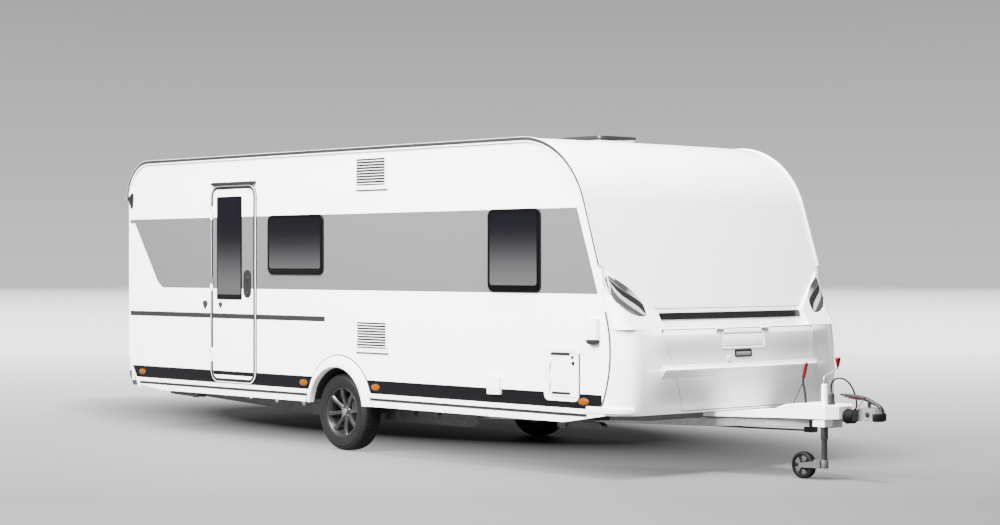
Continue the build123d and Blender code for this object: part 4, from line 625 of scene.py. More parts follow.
def pillow(x0, x1, z0, z1, radius, thick, rise, border, foot):
    """Rows (u, v, height) of a pane, each row the outline moved in by a distance; the height rises
    towards the middle as 1 - exp(-distance). Also gives each point's distance from the rim."""
    reach = min(x1 - x0, z1 - z0) / 2 - foot
    rim = [0.002, 0.002, 0.003, 0.006, 0.015, border - PRINT_EDGE, border + PRINT_EDGE]
    inset = np.concatenate([rim, np.linspace(border + 0.02, reach, 7)])
    height = thick + rise * (1.0 - np.exp(-inset / 0.06))
    height[:3] = (0.0, thick - 0.001, thick)
    lift = foot * np.minimum(inset / border, 1.0)
    corner = np.maximum(radius - inset, 0.012)
    rows = np.stack([
        rounded(x0 + d, x1 - d, z0 + d + up, z1 - d, r) for d, up, r in zip(inset, lift, corner)
    ])
    tall = np.broadcast_to(height[:, None, None], (*rows.shape[:2], 1))
    return np.concatenate([rows, tall], axis=-1), np.repeat(inset, rows.shape[1])


def reflecting_tint(name, low_z, high_z, reflection_low_tone, border=PANE_BORDER):
    """Smoked acrylic: a printed black rim, then a painted reflection, nearly black above and grey below."""
    material, tree, shader = finish(name, (0.03, 0.03, 0.035), 0.08)
    shader.inputs["Specular IOR Level"].default_value = 0.08
    x, y, z, vector = place(tree)
    reflection_fade = spread(tree, z, 0.0, 1.0, high_z, low_z)
    reflection_fade.node.interpolation_type = "SMOOTHSTEP"
    painted_reflection = blend_colour(tree, work(tree, "POWER", reflection_fade, 1.5), REFLECTION_TOP_DARK, reflection_low_tone)
    distance = tree.nodes.new("ShaderNodeAttribute")
    distance.attribute_name = "tint"
    inside = spread(tree, distance.outputs["Fac"], 0.0, 1.0, border - PRINT_EDGE, border + PRINT_EDGE)
    tree.links.new(blend_colour(tree, inside, PRINT_BLACK, painted_reflection), shader.inputs["Base Color"])
    relief(tree, shader, clouds(tree, vector, 2.5), 0.002, 0.25)
    return material


def on_rear(rows, out):
    """Carries (u, v, height) rows to the rear wall: u to Y, height outwards from REAR_X."""
    return np.stack([REAR_X - out - rows[..., 2], rows[..., 0], rows[..., 1]], axis=-1)


pane_rows = []
pane_tints = []
for side, panes in ((1, PANES_RIGHT), (-1, PANES_LEFT), (0, (PANE_REAR,))):
    for pane in panes:
        rows, distances = pillow(*pane, PANE_RADIUS, PANE_T, PANE_RISE, PANE_BORDER, PANE_FOOT)
        pane_rows.append(on_side(rows, side, FRAME_FACE) if side else on_rear(rows, FRAME_FACE))
        pane_tints.append(distances)
# Painted reflection: the pane grades from nearly black at the top to grey below.
smoked = reflecting_tint("smoked_pane_with_reflection", 1.37, 1.95, (0.043, 0.043, 0.044))
panes = piece("smoked_panes", "caravan", "window_tint", smoked, *pane_rows, tint=np.concatenate(pane_tints))
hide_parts("window_panes")

# Entry door
# A leaf as thick as the wall in an extruded white frame with a dark bead, sealed by a black rubber
# gasket. Its window is one smoked pane with a wide black foot.
DOOR = (-2.551, -1.936, 0.550, 2.250, 0.070)
DOOR_FACE = 0.008
DOOR_PANE = (-2.488, -2.104, 1.253, 2.187)
DOOR_PANE_BORDER = 0.014
DOOR_PANE_FOOT = 0.042
GASKET_OUT = 0.015
BEAD_OUT = 0.0385


def door_line(out, y):
    """The leaf's rounded outline moved outwards by a distance, on a plane of constant Y."""
    x0, x1, z0, z1, radius = DOOR
    return on_plane_y(rounded(x0 - out, x1 + out, z0 - out, z1 + out, radius + out), y)


soft_rubber = moulded("soft_black_rubber", (0.0045, 0.0045, 0.0046), 0.6, gloss=0.15)
gasket_path = door_line(GASKET_OUT, -HALF - DOOR_FACE - 0.001)
gasket = swept(gasket_path, ring(0.0115, 12, 0.5), closed=True, up=DOOR_SIDE_OUT)
piece("door_gasket", "caravan", "black_plastic", soft_rubber, gasket, ends=False)
frame_bead = swept(door_line(BEAD_OUT, -HALF - 0.0035), ring(0.0060, 12), closed=True, up=DOOR_SIDE_OUT)
piece("door_frame_bead", "caravan", "rail_grey", shade_and_bead_grey, frame_bead, ends=False)
rows, distances = pillow(*DOOR_PANE, 0.016, 0.0085, 0.003, DOOR_PANE_BORDER, DOOR_PANE_FOOT)
# The door's pane has the same painted reflection.
door_smoked = reflecting_tint("smoked_door_pane_with_reflection", 1.33, 1.95, (0.037, 0.037, 0.038), DOOR_PANE_BORDER)
door_pane_rows = on_side(rows, 1, DOOR_FACE - 0.002)
door_pane = piece("door_pane", "entry_door", "window_tint", door_smoked, door_pane_rows, tint=distances)
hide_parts("door_window")

# Door handle
# A black moulded plate on the leaf with a shallow recess for the fingers, a lever across it and a
# metal lock below.
HANDLE = (-2.080, -1.966, 1.279, 1.527)
HANDLE_BOWL = (-2.066, -1.982, 1.345, 1.440)
DOOR_LOCK = (-2.023, -HALF, 1.318)
handle_plate = on_side(crowned(rounded(*HANDLE, 0.052), 0.007, 0.004), 1, DOOR_FACE + 0.004)
bowl = on_side(crowned(rounded(*HANDLE_BOWL, 0.020), 0.0015, 0.002), 1, DOOR_FACE + 0.0085)
plate = piece("door_handle_plate", "entry_door", "black_plastic", black_plastic, handle_plate)
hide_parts("door_handle")
# Painted shade: the bowl's black is a little darker than the plate's, for the shade in the finger recess.
handle_recess_shade = moulded("handle_recess_shade", (0.006, 0.006, 0.007), 0.6)
piece("door_handle_bowl", "entry_door", "black_plastic", handle_recess_shade, bowl)
lever_path = through([
    (-2.060, -1.266, 1.452), (-2.040, -1.273, 1.455), (-2.010, -1.273, 1.455), (-1.990, -1.266, 1.452),
])
lever = swept(lever_path, rounded(-0.004, 0.004, -0.018, 0.018, 0.003, 4))
piece("door_handle_lever", "entry_door", "black_plastic", dark_plastic_and_shade, lever)
bright_metal = moulded("bright_lock_metal", (0.05, 0.05, 0.05), 0.3, 1600.0, 0.00004)
bright_metal.node_tree.nodes["Principled BSDF"].inputs["Metallic"].default_value = 0.9
door_lock_profile = [(0.0, 0.019), (0.011, 0.019), (0.013, 0.017), (0.013, 0.011), (0.0, 0.011)]
door_lock = turned(door_lock_profile, DOOR_LOCK, DOOR_SIDE_OUT, 24)
piece("door_lock", "entry_door", "head_steel", bright_metal, door_lock)

# Service hatch
# A white moulded leaf in its frame, with dark strips at its head and foot that are painted shade in
# the gaps round the leaf, and two small locks. A grey line down beside the frame is a painted shadow.
HATCH_FACE = 0.006
HATCH_GAP_SHADES = ((1.858, 2.062, 0.9060), (1.868, 2.066, 0.6140))
HATCH_LOCKS = ((2.087, 0.884, 0.014), (2.096, 0.840, 0.017))
HATCH_EDGE_SHADOW = (2.1600, 0.600, 0.915)
GAP_SHADE_HALF = 0.0095
# Painted shade: dark strips in the gaps at the leaf's head and foot.
gap_shade_outlines = [rounded(x0, x1, z - GAP_SHADE_HALF, z + GAP_SHADE_HALF, 0.003) for x0, x1, z in HATCH_GAP_SHADES]
gap_shade_rows = [on_side(crowned(line, 0.0006, 0.003), 1, HATCH_FACE + 0.0015) for line in gap_shade_outlines]
lock_rows = [
    on_side(crowned(oval(x, z, radius, radius), 0.003, 0.004), 1, HATCH_FACE + 0.001)
    for x, z, radius in HATCH_LOCKS
]
piece("hatch_gap_shades", "service_hatch_door", "black_plastic", dark_plastic_and_shade, *gap_shade_rows)
piece("hatch_locks", "service_hatch_door", "black_plastic", dark_plastic_and_shade, *lock_rows)
# Painted shadow: a grey line down beside the frame's edge.
edge_shadow_line = np.array([(HATCH_EDGE_SHADOW[0], -HALF - 0.002, z) for z in HATCH_EDGE_SHADOW[1:]])
hatch_edge_shadow = swept(edge_shadow_line, ring(0.0065, 10), up=DOOR_SIDE_OUT)
hatch_edge_shadow_grey = moulded("hatch_edge_shadow_grey", (0.05, 0.05, 0.051), 0.6)
piece("hatch_edge_shadow", "caravan", "rail_grey", hatch_edge_shadow_grey, hatch_edge_shadow)

# Corner seams
# A grey sealing bead along the joint of side wall and nose, curved as the nose's edge is.
CORNER_FRONT_X = 2.475
CORNER_MIDDLE_Z = 0.930
CORNER_CURVE_R = 0.950
CORNER_SEAM_Z = (0.532, 1.230)
corner_z = np.linspace(*CORNER_SEAM_Z, 41)
corner_x = CORNER_FRONT_X - CORNER_CURVE_R + np.sqrt(CORNER_CURVE_R**2 - (corner_z - CORNER_MIDDLE_Z) ** 2)
corner_line = np.stack([corner_x, corner_z], axis=-1)
corner_seams = [
    swept(on_plane_y(corner_line, -side * (HALF + 0.0005)), ring(0.0090, 12, 0.4), up=(0.0, -side, 0.0))
    for side in (1, -1)
]
sealant_grey = moulded("sealant_grey", (0.030, 0.030, 0.031), 0.6)
piece("corner_seams", "caravan", "rail_grey", sealant_grey, *corner_seams)

# Side markers
# Amber lenses in black oval bases, pushed into the foot band or skirt.
MARKERS = (-3.721, -1.208, -0.230, 2.204)
MARKER_Z = 0.561
MARKER_BASE = (0.0600, 0.0310)
MARKER_LENS = (0.0530, 0.0255)
base_rows = []
lens_rows = []
for x in MARKERS:
    for side in (1, -1):
        base_rows.append(on_side(crowned(oval(x, MARKER_Z, *MARKER_BASE), 0.002, 0.004), side, 0.004))
        lens_rows.append(on_side(crowned(oval(x, MARKER_Z, *MARKER_LENS), 0.006, 0.003), side, 0.006))


def lens_plastic(name, colour, ribs=260.0):
    """Coloured lens under a smooth skin, with moulded ribs: a sine of the height, ribs to a metre."""
    material, tree, shader = finish(name, colour, 0.2)
    shader.inputs["Specular IOR Level"].default_value = 0.12
    z = place(tree)[2]
    waves = work(tree, "SINE", work(tree, "MULTIPLY", z, 2 * pi * ribs))
    tone = blend_colour(tree, spread(tree, waves, 0.0, 1.0, -1.0, 1.0), toned(colour, 0.78), colour)
    tree.links.new(tone, shader.inputs["Base Color"])
    relief(tree, shader, waves, 0.0004, 0.5)
    return material


piece("marker_bases", "caravan", "black_plastic", black_plastic, *base_rows)
amber = lens_plastic("amber_lens", (0.150, 0.041, 0.0))
markers = piece("marker_lenses", "caravan", "marker_amber", amber, *lens_rows)
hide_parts("side_markers")

# Wheel arch trims
# White moulded flanges round the wheel cut-outs: a thin edge on the wall with a dark bead, a sloping
# face and a lip that rolls in over the opening. Black plastic housings close the arches inside.
AXLE_X = -0.750
ARCH_Z = 0.345
ARCH_R = 0.362
ARCH_LOW_Z = 0.398
ARCH_OUTER = (-0.715, 0.372, 0.438)
ARCH_BEAD = (radians(20.0), radians(160.0))
ARCH_PROFILE = np.array([
    (0.0620, -0.0010), (0.0620, 0.0040), (0.0612, 0.0052), (0.0570, 0.0056), (0.0560, 0.0100),
    (0.0545, 0.0118), (0.0400, 0.0170), (0.0240, 0.0235), (0.0160, 0.0262), (0.0090, 0.0270),
    (0.0040, 0.0252), (0.0010, 0.0200), (-0.0006, 0.0120), (-0.0010, 0.0000), (-0.0010, -0.0300),
    (0.0030, -0.0300), (0.0050, -0.0010),
])


def arch_rows(side):
    """The flange's profile (outwards from the arch, proud of the wall) carried round the arch. Each
    profile point has its own circle, which passes from the opening's to the outer edge's with its
    share of the flange's width, and its arc starts and ends on one level."""
    outwards = ARCH_PROFILE[:, 0] / ARCH_PROFILE[0, 0]
    middle_x, middle_z, radius = (
        inner + (outer - inner) * outwards for inner, outer in zip((AXLE_X, ARCH_Z, ARCH_R), ARCH_OUTER)
    )
    low = np.arcsin((ARCH_LOW_Z - middle_z) / radius)
    share = np.linspace(0.0, 1.0, 97)[:, None]
    angle = low[None] + share * (pi - 2 * low)[None]
    y = np.broadcast_to(-side * (HALF + ARCH_PROFILE[:, 1]), angle.shape)
    return np.stack([middle_x + radius * np.cos(angle), y, middle_z + radius * np.sin(angle)], axis=-1)


bead_line = arc(ARCH_OUTER[0], ARCH_OUTER[1], ARCH_OUTER[2] + 0.001, *ARCH_BEAD, 73)
bead_rows = [
    swept(on_plane_y(bead_line, -side * (HALF + 0.002)), ring(0.0055, 10), up=(0.0, -side, 0.0))
    for side in (1, -1)
]
piece("arch_beads", "caravan", "rail_grey", shade_and_bead_grey, *bead_rows)
arch_trims = piece("arch_trims", "caravan", "trim_white", trim_white, arch_rows(1), arch_rows(-1), sharp=50.0)
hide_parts("wheel_arch_trims")
coat_nodes(moulded("housing_black_plastic", (0.018, 0.018, 0.019), 0.7), "wheel_housings")

# Road wheels
# Radial tyres with ribbed shoulders and a blocked tread on cast eight-spoke rims in anthracite; the
# spokes have bevelled edges, a round cap covers the hub and four bolts sit round it.
TYRE_R = 0.327
TYRE_Y = 1.108
SPOKES = 8
SPOKE_TURN = radians(98.0)
BOLTS = 4
BOLT_TURN = radians(53.0)
BOLT_CIRCLE_R = 0.046
TREAD_HALF = 0.072
TREAD_EDGE = 0.078
TREAD_DEEP = 0.007
TYRE_DARK = (0.0036, 0.0036, 0.0038)
TYRE_DUST = (0.0075, 0.0075, 0.0078)
TREAD_GREY = (0.011, 0.011, 0.0115)
SIPES = 64
TYRE_STEPS = SIPES * 5


def tyre_rows(side):
    """A tyre as angle by section: the section runs from one bead over the tread to the other, grooves
    run round at four places, and sipes slant across between them as sin(count x angle + across)."""
    flank = np.array([
        (0.196, 0.070), (0.204, 0.082), (0.214, 0.0875), (0.218, 0.0905), (0.222, 0.0905),
        (0.226, 0.0900), (0.244, 0.0960), (0.262, 0.0975), (0.276, 0.0965), (0.279, 0.0980),
        (0.283, 0.0978), (0.286, 0.0950), (0.298, 0.0905), (0.309, 0.0840), (0.3165, 0.0770),
    ])
    groove = np.array([-0.050, -0.018, 0.018, 0.050])
    lips = np.array([-0.0062, -0.0046, 0.0046, 0.0062])
    places = np.concatenate([[-0.0725, -0.066], (groove[:, None] + lips[None]).ravel(), [0.066, 0.0725]])
    places = np.sort(np.concatenate([places, [-0.034, 0.0, 0.034]]))
    crown = TYRE_R - 0.0075 * (np.abs(places) / TREAD_HALF) ** 3
    sunk = (np.abs(places[:, None] - groove[None]).min(axis=1) < 0.005) * TREAD_DEEP
    across = np.concatenate([flank[:, 1], places[::-1], -flank[::-1, 1]])
    radius = np.concatenate([flank[:, 0], (crown - sunk)[::-1], flank[::-1, 0]])
    tread = np.concatenate([np.zeros(len(flank)), (sunk == 0)[::-1], np.zeros(len(flank))])
    angle = np.linspace(0.0, 2 * pi, TYRE_STEPS, endpoint=False)[:, None]
    wave = np.cos(SIPES * angle + 60.0 * np.abs(across)[None])
    cut = tread[None] * np.clip((wave - 0.55) / 0.3, 0.0, 1.0) * TREAD_DEEP * 0.8
    reach = radius[None] - cut
    y = np.broadcast_to(-side * (TYRE_Y + across[None]), reach.shape)
    return joined(np.stack([AXLE_X + reach * np.cos(angle), y, TYRE_R + reach * np.sin(angle)], axis=-1))


def on_axle(section, side, steps=40):
    """A section (radius, place outwards from the wheel's middle) turned round the axle."""
    return turned(section, (AXLE_X, -side * TYRE_Y, TYRE_R), (0, -side, 0), steps)


def rim_rows(side):
    """The rim's barrel, turned: outer lip, drop centre and inner lip, as a closed section."""
    section = [
        (0.204, 0.0850), (0.2068, 0.0835), (0.2068, 0.0790), (0.2010, 0.0760), (0.1960, 0.0600),
        (0.1800, 0.0380), (0.1780, -0.0100), (0.1920, -0.0600), (0.2040, -0.0820), (0.2040, -0.0860),
        (0.1990, -0.0860), (0.1850, -0.0600), (0.1720, -0.0100), (0.1740, 0.0360), (0.1880, 0.0620),
        (0.1930, 0.0740), (0.1975, 0.0840), (0.2005, 0.0858),
    ]
    return joined(on_axle(section, side, 96))


def spoke_rows(side, turn):
    """One spoke: a bevelled section that runs out from the hub to the lip, widest at both ends, with
    its face bowed out and its back hollow."""
    share = np.linspace(0.0, 1.0, 15)[:, None]
    reach = 0.034 + share * 0.162
    half = 0.0185 + 0.0075 * (2 * share - 1.0) ** 2
    face = 0.046 + 0.030 * share**1.3 + 0.008 * np.sin(pi * share)
    deep = 0.030 - 0.008 * share
    section = np.array([
        (-1.0, -0.45), (-0.55, -0.02), (-0.35, 0.0), (0.35, 0.0), (0.55, -0.02), (1.0, -0.45), (0.9, -1.0),
        (-0.9, -1.0),
    ])
    wide = half * section[None, :, 0]
    out = face + deep * section[None, :, 1]
    x = AXLE_X + reach * cos(turn) - wide * sin(turn)
    z = TYRE_R + reach * sin(turn) + wide * cos(turn)
    return np.stack([x, np.broadcast_to(-side * (TYRE_Y + out), x.shape), z], axis=-1)


def hub_rows(side):
    """The rim's round centre, turned, with a dished face."""
    section = [
        (0.0, 0.052), (0.036, 0.052), (0.050, 0.050), (0.058, 0.044), (0.060, 0.030), (0.060, 0.016),
        (0.0, 0.016),
    ]
    return on_axle(section, side)


def cap_rows(side):
    """The round hub cap, turned, with a shallow ring in its face."""
    section = [
        (0.0, 0.0655), (0.018, 0.0655), (0.0195, 0.0645), (0.0265, 0.0645), (0.030, 0.0620), (0.0305, 0.050),
        (0.0, 0.050),
    ]
    return on_axle(section, side)


def bolt_rows(side, turn):
    """One wheel bolt, turned with six sides."""
    at = (AXLE_X + BOLT_CIRCLE_R * cos(turn), -side * TYRE_Y, TYRE_R + BOLT_CIRCLE_R * sin(turn))
    section = [(0.0, 0.060), (0.007, 0.060), (0.0085, 0.058), (0.0085, 0.046), (0.0, 0.046)]
    return turned(section, at, (0, -side, 0), 6)


def tyre_finish(name):
    """Tyre rubber: a dark flank with dust in clouds, a greyer tread and a fine moulded grain."""
    material, tree, shader = finish(name, (0.03, 0.03, 0.031), 0.62)
    shader.inputs["Specular IOR Level"].default_value = 0.15
    x, y, z, vector = place(tree)
    dust = clouds(tree, vector, 22.0, 5.0)
    tone = blend_colour(tree, dust, TYRE_DARK, TYRE_DUST)
    across = work(tree, "ABSOLUTE", work(tree, "SUBTRACT", work(tree, "ABSOLUTE", y), TYRE_Y))
    tread = work(tree, "LESS_THAN", across, TREAD_EDGE)
    tree.links.new(blend_colour(tree, tread, tone, TREAD_GREY), shader.inputs["Base Color"])
    tree.links.new(spread(tree, dust, 0.5, 0.75), shader.inputs["Roughness"])
    relief(tree, shader, clouds(tree, vector, 700.0, 3.0), 0.0004, 0.5)
    return material


def cast_alloy(name, colour, rough):
    """Painted cast alloy: metal flake under lacquer, a little brake dust."""
    material, tree, shader = finish(name, colour, rough, metallic=0.6, coat=0.15)
    vector = place(tree)[-1]
    flake = clouds(tree, vector, 1500.0, 1.0)
    dust = clouds(tree, vector, 35.0, 4.0)
    tone = blend_colour(tree, dust, toned(colour, 0.8), toned(colour, 1.2))
    tree.links.new(tone, shader.inputs["Base Color"])
    tree.links.new(spread(tree, dust, rough - 0.06, rough + 0.1), shader.inputs["Roughness"])
    relief(tree, shader, flake, 0.00005, 0.3)
    return material


tyre_rubber = tyre_finish("tyre_rubber")
anthracite = cast_alloy("anthracite_alloy", (0.030, 0.030, 0.031), 0.30)
cap_silver = cast_alloy("cap_silver", (0.16, 0.16, 0.163), 0.3)
for side, name in ((1, "right"), (-1, "left")):
    body = "wheel_" + name
    tread = tyre_rows(side)
    tyre = piece("road_tyre_" + name, body, "tyre_rubber", tyre_rubber, tread, sharp=30.0, ends=False)
    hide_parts("tyre_" + name)
    barrel = piece("rim_barrel_" + name, body, "alloy_dark", anthracite, rim_rows(side), ends=False)
    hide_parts("rim_" + name)
    spokes = [spoke_rows(side, SPOKE_TURN + 2 * pi * k / SPOKES) for k in range(SPOKES)]
    piece("rim_spokes_" + name, body, "alloy_dark", anthracite, *spokes, hub_rows(side), sharp=25.0)
    piece("hub_cap_" + name, body, "head_steel", cap_silver, cap_rows(side))
    bolts = [bolt_rows(side, BOLT_TURN + 2 * pi * k / BOLTS) for k in range(BOLTS)]
    piece("wheel_bolts_" + name, body, "head_steel", cap_silver, *bolts)

# Front lamps
# Long lamps let into the pods: a thin clear lens over a moulded bowl, which has a grey upper shelf, a
# dark blade, a white reflector and a grey lower rim.
SLANT = 2.8003
BOW_R = 15.0
POD_LINE = ((2.660, 1.102), (2.605, 1.198), (2.445, 1.600))
POD_FLAT_Y = 1.145
POD_CORNER_R = 0.105
LAMP_UPPER = (
    (1.219, 1.497), (1.202, 1.496), (1.181, 1.484), (1.137, 1.459), (1.081, 1.424), (1.035, 1.389),
    (0.993, 1.346), (0.967, 1.311), (0.957, 1.282), (0.962, 1.230), (0.971, 1.200),
)
LAMP_LOWER = (
    (1.219, 1.497), (1.222, 1.460), (1.221, 1.407), (1.217, 1.354), (1.197, 1.307), (1.145, 1.263),
    (1.094, 1.234), (1.043, 1.211), (1.003, 1.198), (0.971, 1.200),
)
LAMP_ROWS = 61
LAMP_COLUMNS = 49
LENS_OUT = 0.0035
LENS_T = 0.0010
BOWL_OUT = 0.0020
BOWL_T = 0.0060
REFLECTOR_WHITE = 0.50
SHELF_GREY = 0.048
BLADE_BLACK = 0.011
LAMP_RIM_GREY = 0.045


def bent_line(points, z):
    """X of the parabola through three (x, z) points at heights."""
    return np.polyval(np.polyfit([p[1] for p in points], [p[0] for p in points], 2), z)


def sag(y):
    """How far the bowed front falls back at a distance from the middle."""
    return BOW_R - np.sqrt(BOW_R**2 - y**2)


def pod_x(y, z):
    """X of the pod's face: its bent line, less the bow and the round of the outer corner."""
    over = np.clip(np.abs(y) - POD_FLAT_Y, 0.0, POD_CORNER_R * 0.98)
    return bent_line(POD_LINE, z) - sag(y) - (POD_CORNER_R - np.sqrt(POD_CORNER_R**2 - over**2))


def slant_x(y, z):
    """X of the sloping front panel."""
    return (SLANT - np.sin(RAKE) * z) / np.cos(RAKE) - sag(y)


def even_steps(points, steps):
    """Points at equal distances along a bent line."""
    points = np.array(points)
    along = np.concatenate([[0.0], np.cumsum(np.hypot(*np.diff(points, axis=0).T))])
    at = np.linspace(0.0, along[-1], steps)
    return np.stack([np.interp(at, along, points[:, k]) for k in (0, 1)], axis=-1)


LAMP_U = np.linspace(0.0, 1.0, LAMP_ROWS)[:, None]
LAMP_V = np.linspace(0.0, 1.0, LAMP_COLUMNS)[None]
upper_edge = even_steps(LAMP_UPPER, LAMP_ROWS)
lower_edge = even_steps(LAMP_LOWER, LAMP_ROWS)


def lamp_shell(side, out, thick):
    """A closed shell over the lamp's leaf: its face stands out from the pod's face, and its back lies
    a thickness further in."""
    y = upper_edge[:, :1] * (1 - LAMP_V) + lower_edge[:, :1] * LAMP_V
    z = upper_edge[:, 1:] * (1 - LAMP_V) + lower_edge[:, 1:] * LAMP_V
    face = pod_x(y, z)
    near = np.stack([face + out, -side * y, z], axis=-1)
    far = np.stack([face + out - thick, -side * y, z], axis=-1)
    return np.concatenate([near, far[:, ::-1]], axis=1)


def ramp_up(value, start, end):
    """Zero before start, one after end and straight between."""
    return np.clip((value - start) / (end - start), 0.0, 1.0)


def lamp_tone():
    """Grey of the bowl by the shares along and across it: a grey shelf above, a dark blade that widens
    and climbs towards the inner end, a white reflector and a grey lower rim."""
    slide = LAMP_V + 0.5 * (LAMP_U - 0.5)
    blade_half = 0.055 + 0.16 * LAMP_U
    shelf = (1.0 - ramp_up(slide, 0.26, 0.31)) * (1.0 - ramp_up(LAMP_U, 0.42, 0.62))
    blade = 1.0 - ramp_up(np.abs(slide - 0.42), blade_half, blade_half + 0.05)
    rim = np.maximum(ramp_up(LAMP_V, 0.74, 0.80), 1.0 - ramp_up(LAMP_U, 0.03, 0.07))
    tone = np.full((LAMP_ROWS, LAMP_COLUMNS), REFLECTOR_WHITE)
    for share, grey in ((shelf, SHELF_GREY), (blade, BLADE_BLACK), (rim, LAMP_RIM_GREY)):
        tone = tone + (grey - tone) * share
    return tone


def lamp_finish(name):
    """Bowl of the lamp in the greys of its tint attribute, finely fluted."""
    material, tree, shader = finish(name, (0.3, 0.3, 0.3), 0.25)
    shader.inputs["Specular IOR Level"].default_value = 0.2
    x, y, z, vector = place(tree)
    grey = tree.nodes.new("ShaderNodeAttribute")
    grey.attribute_name = "tint"
    flutes = work(tree, "SINE", work(tree, "MULTIPLY", work(tree, "ADD", y, z), 900.0))
    relief(tree, shader, flutes, 0.0008, 0.25)
    tree.links.new(grey.outputs["Color"], shader.inputs["Base Color"])
    return material


def clear_lens(name):
    """Clear hard-coated lens: mostly see-through, with sharp reflections and a trace of haze."""
    material, tree, shader = finish(name, (0.02, 0.02, 0.021), 0.03, coat=0.5)
    vector = place(tree)[-1]
    shader.inputs["Alpha"].default_value = 0.08
    tree.links.new(spread(tree, clouds(tree, vector, 60.0), 0.02, 0.06), shader.inputs["Roughness"])
    return material


lens_shells = [lamp_shell(side, LENS_OUT, LENS_T) for side in (1, -1)]
lenses = piece("front_lamp_lenses", "caravan", "lamp_lens", clear_lens("clear_lens"), *lens_shells)
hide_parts("front_lamps")
bowl_shells = [lamp_shell(side, BOWL_OUT, BOWL_T) for side in (1, -1)]
bowl_greys = np.tile(np.concatenate([lamp_tone(), lamp_tone()[:, ::-1]], axis=1).ravel(), 2)
lamp_bowl = lamp_finish("lamp_bowl")
piece("front_lamp_bowls", "caravan", "front_white", lamp_bowl, *bowl_shells, sharp=60.0, tint=bowl_greys)

# Strip and seam under the sloping panel
# A gloss black strip across the foot of the slant, and the panel's seam a little above it.
SEAM_Z = 1.249
SEAM_HALF_Y = 0.845
coat_nodes(moulded("black_gloss", (0.006, 0.006, 0.0065), 0.2), "nose_strip")
seam_y = np.linspace(-SEAM_HALF_Y, SEAM_HALF_Y, 41)
seam_line = np.stack([slant_x(seam_y, SEAM_Z), seam_y, np.full_like(seam_y, SEAM_Z)], axis=-1)
# Grey for the panel's seam, and for the painted shadow round the plate.
seam_and_shadow_grey = moulded("seam_and_shadow_grey", (0.06, 0.06, 0.061), 0.6)
piece("front_panel_seam", "caravan", "rail_grey", seam_and_shadow_grey, swept(seam_line, ring(0.0020, 8)))

# Plate recess, handle and lock on the gas locker lid
# A shallow moulded frame round a blank white plate, a dark pull handle with a pale flap and a round
# lock beside it, all on the bowed face of the lid.
NOSE_LINE = ((2.672, 0.470), (2.691, 0.800), (2.660, 1.102))
PLATE = (-0.250, 0.250, 0.936, 1.070)
PLATE_R = 0.022
PLATE_FACE = (PLATE[0] + 0.024, PLATE[1] - 0.024, PLATE[2] + 0.018, PLATE[3] - 0.024)
PULL = (-0.112, 0.084, 0.872, 0.930)
PULL_FLAP = (PULL[0] + 0.016, PULL[1] - 0.016, PULL[2] + 0.012, PULL[3] - 0.016)
LOCKER_LOCK = (-0.184, 0.867)


def on_lid(rows):
    """Carries (u, v, height) rows to the lid's face: u to Y, v to Z, height forwards from it."""
    y = rows[..., 0]
    z = rows[..., 1]
    return np.stack([bent_line(NOSE_LINE, z) - sag(y) + rows[..., 2], y, z], axis=-1)


def dished(x0, x1, z0, z1, radius, insets, heights):
    """Rows (u, v, height): the outline moved in by each inset, at each height."""
    rows = np.stack([
        rounded(x0 + d, x1 - d, z0 + d, z1 - d, max(radius - d, 0.003), 9) for d in insets
    ])
    tall = np.broadcast_to(np.asarray(heights)[:, None, None], (*rows.shape[:2], 1))
    return np.concatenate([rows, tall], axis=-1)


def fine_rows(rows, extra=6):
    """Adds points along each row, so that a long straight edge follows a bowed face."""
    following = np.roll(rows, -1, axis=1)
    share = np.arange(extra)[None, None, :, None] / extra
    dense = rows[:, :, None, :] * (1 - share) + following[:, :, None, :] * share
    return dense.reshape(rows.shape[0], -1, rows.shape[2])


plate_frame = dished(
    *PLATE, PLATE_R, (0.0, 0.0, 0.004, 0.010, 0.017, 0.020), (-0.003, 0.002, 0.0065, 0.0065, 0.002, 0.0012),
)
plate_face = dished(*PLATE_FACE, 0.010, (0.0, 0.0, 0.0015), (-0.002, 0.0032, 0.004))
piece("plate_frame", "gas_locker_lid", "front_white", front_paint, on_lid(fine_rows(plate_frame)))
piece("blank_plate", "gas_locker_lid", "trim_white", trim_white, on_lid(fine_rows(plate_face)))
# Painted shadow: a grey line round the plate's frame.
plate_line = np.insert(rounded(*PLATE, PLATE_R, 9), 2, 0.0005, axis=1)
plate_path = on_lid(fine_rows(plate_line[None]))[0]
plate_shadow_line = swept(plate_path, ring(0.0026, 8), closed=True, up=(1.0, 0.0, 0.0))
piece("plate_shadow_line", "gas_locker_lid", "rail_grey", seam_and_shadow_grey, plate_shadow_line, ends=False)
pull_frame = dished(*PULL, 0.012, (0.0, 0.0, 0.003, 0.010, 0.013), (-0.003, 0.003, 0.006, 0.005, 0.001))
pull_flap = dished(*PULL_FLAP, 0.006, (0.0, 0.0, 0.004), (-0.002, 0.003, 0.005))
piece("locker_pull", "gas_locker_lid", "black_plastic", dark_plastic_and_shade, on_lid(fine_rows(pull_frame)))
flap_grey = moulded("flap_grey", (0.16, 0.16, 0.163), 0.35)
piece("locker_flap", "gas_locker_lid", "rail_grey", flap_grey, on_lid(fine_rows(pull_flap)))
lock_x = float(bent_line(NOSE_LINE, LOCKER_LOCK[1]) - sag(LOCKER_LOCK[0]))
lock_profile = [(0.0, 0.010), (0.012, 0.010), (0.019, 0.008), (0.022, 0.003), (0.022, -0.004), (0.0, -0.004)]
locker_lock = turned(lock_profile, (lock_x, *LOCKER_LOCK), (1, 0, 0), 28)
piece("locker_lock", "gas_locker_lid", "trim_white", trim_white, locker_lock)

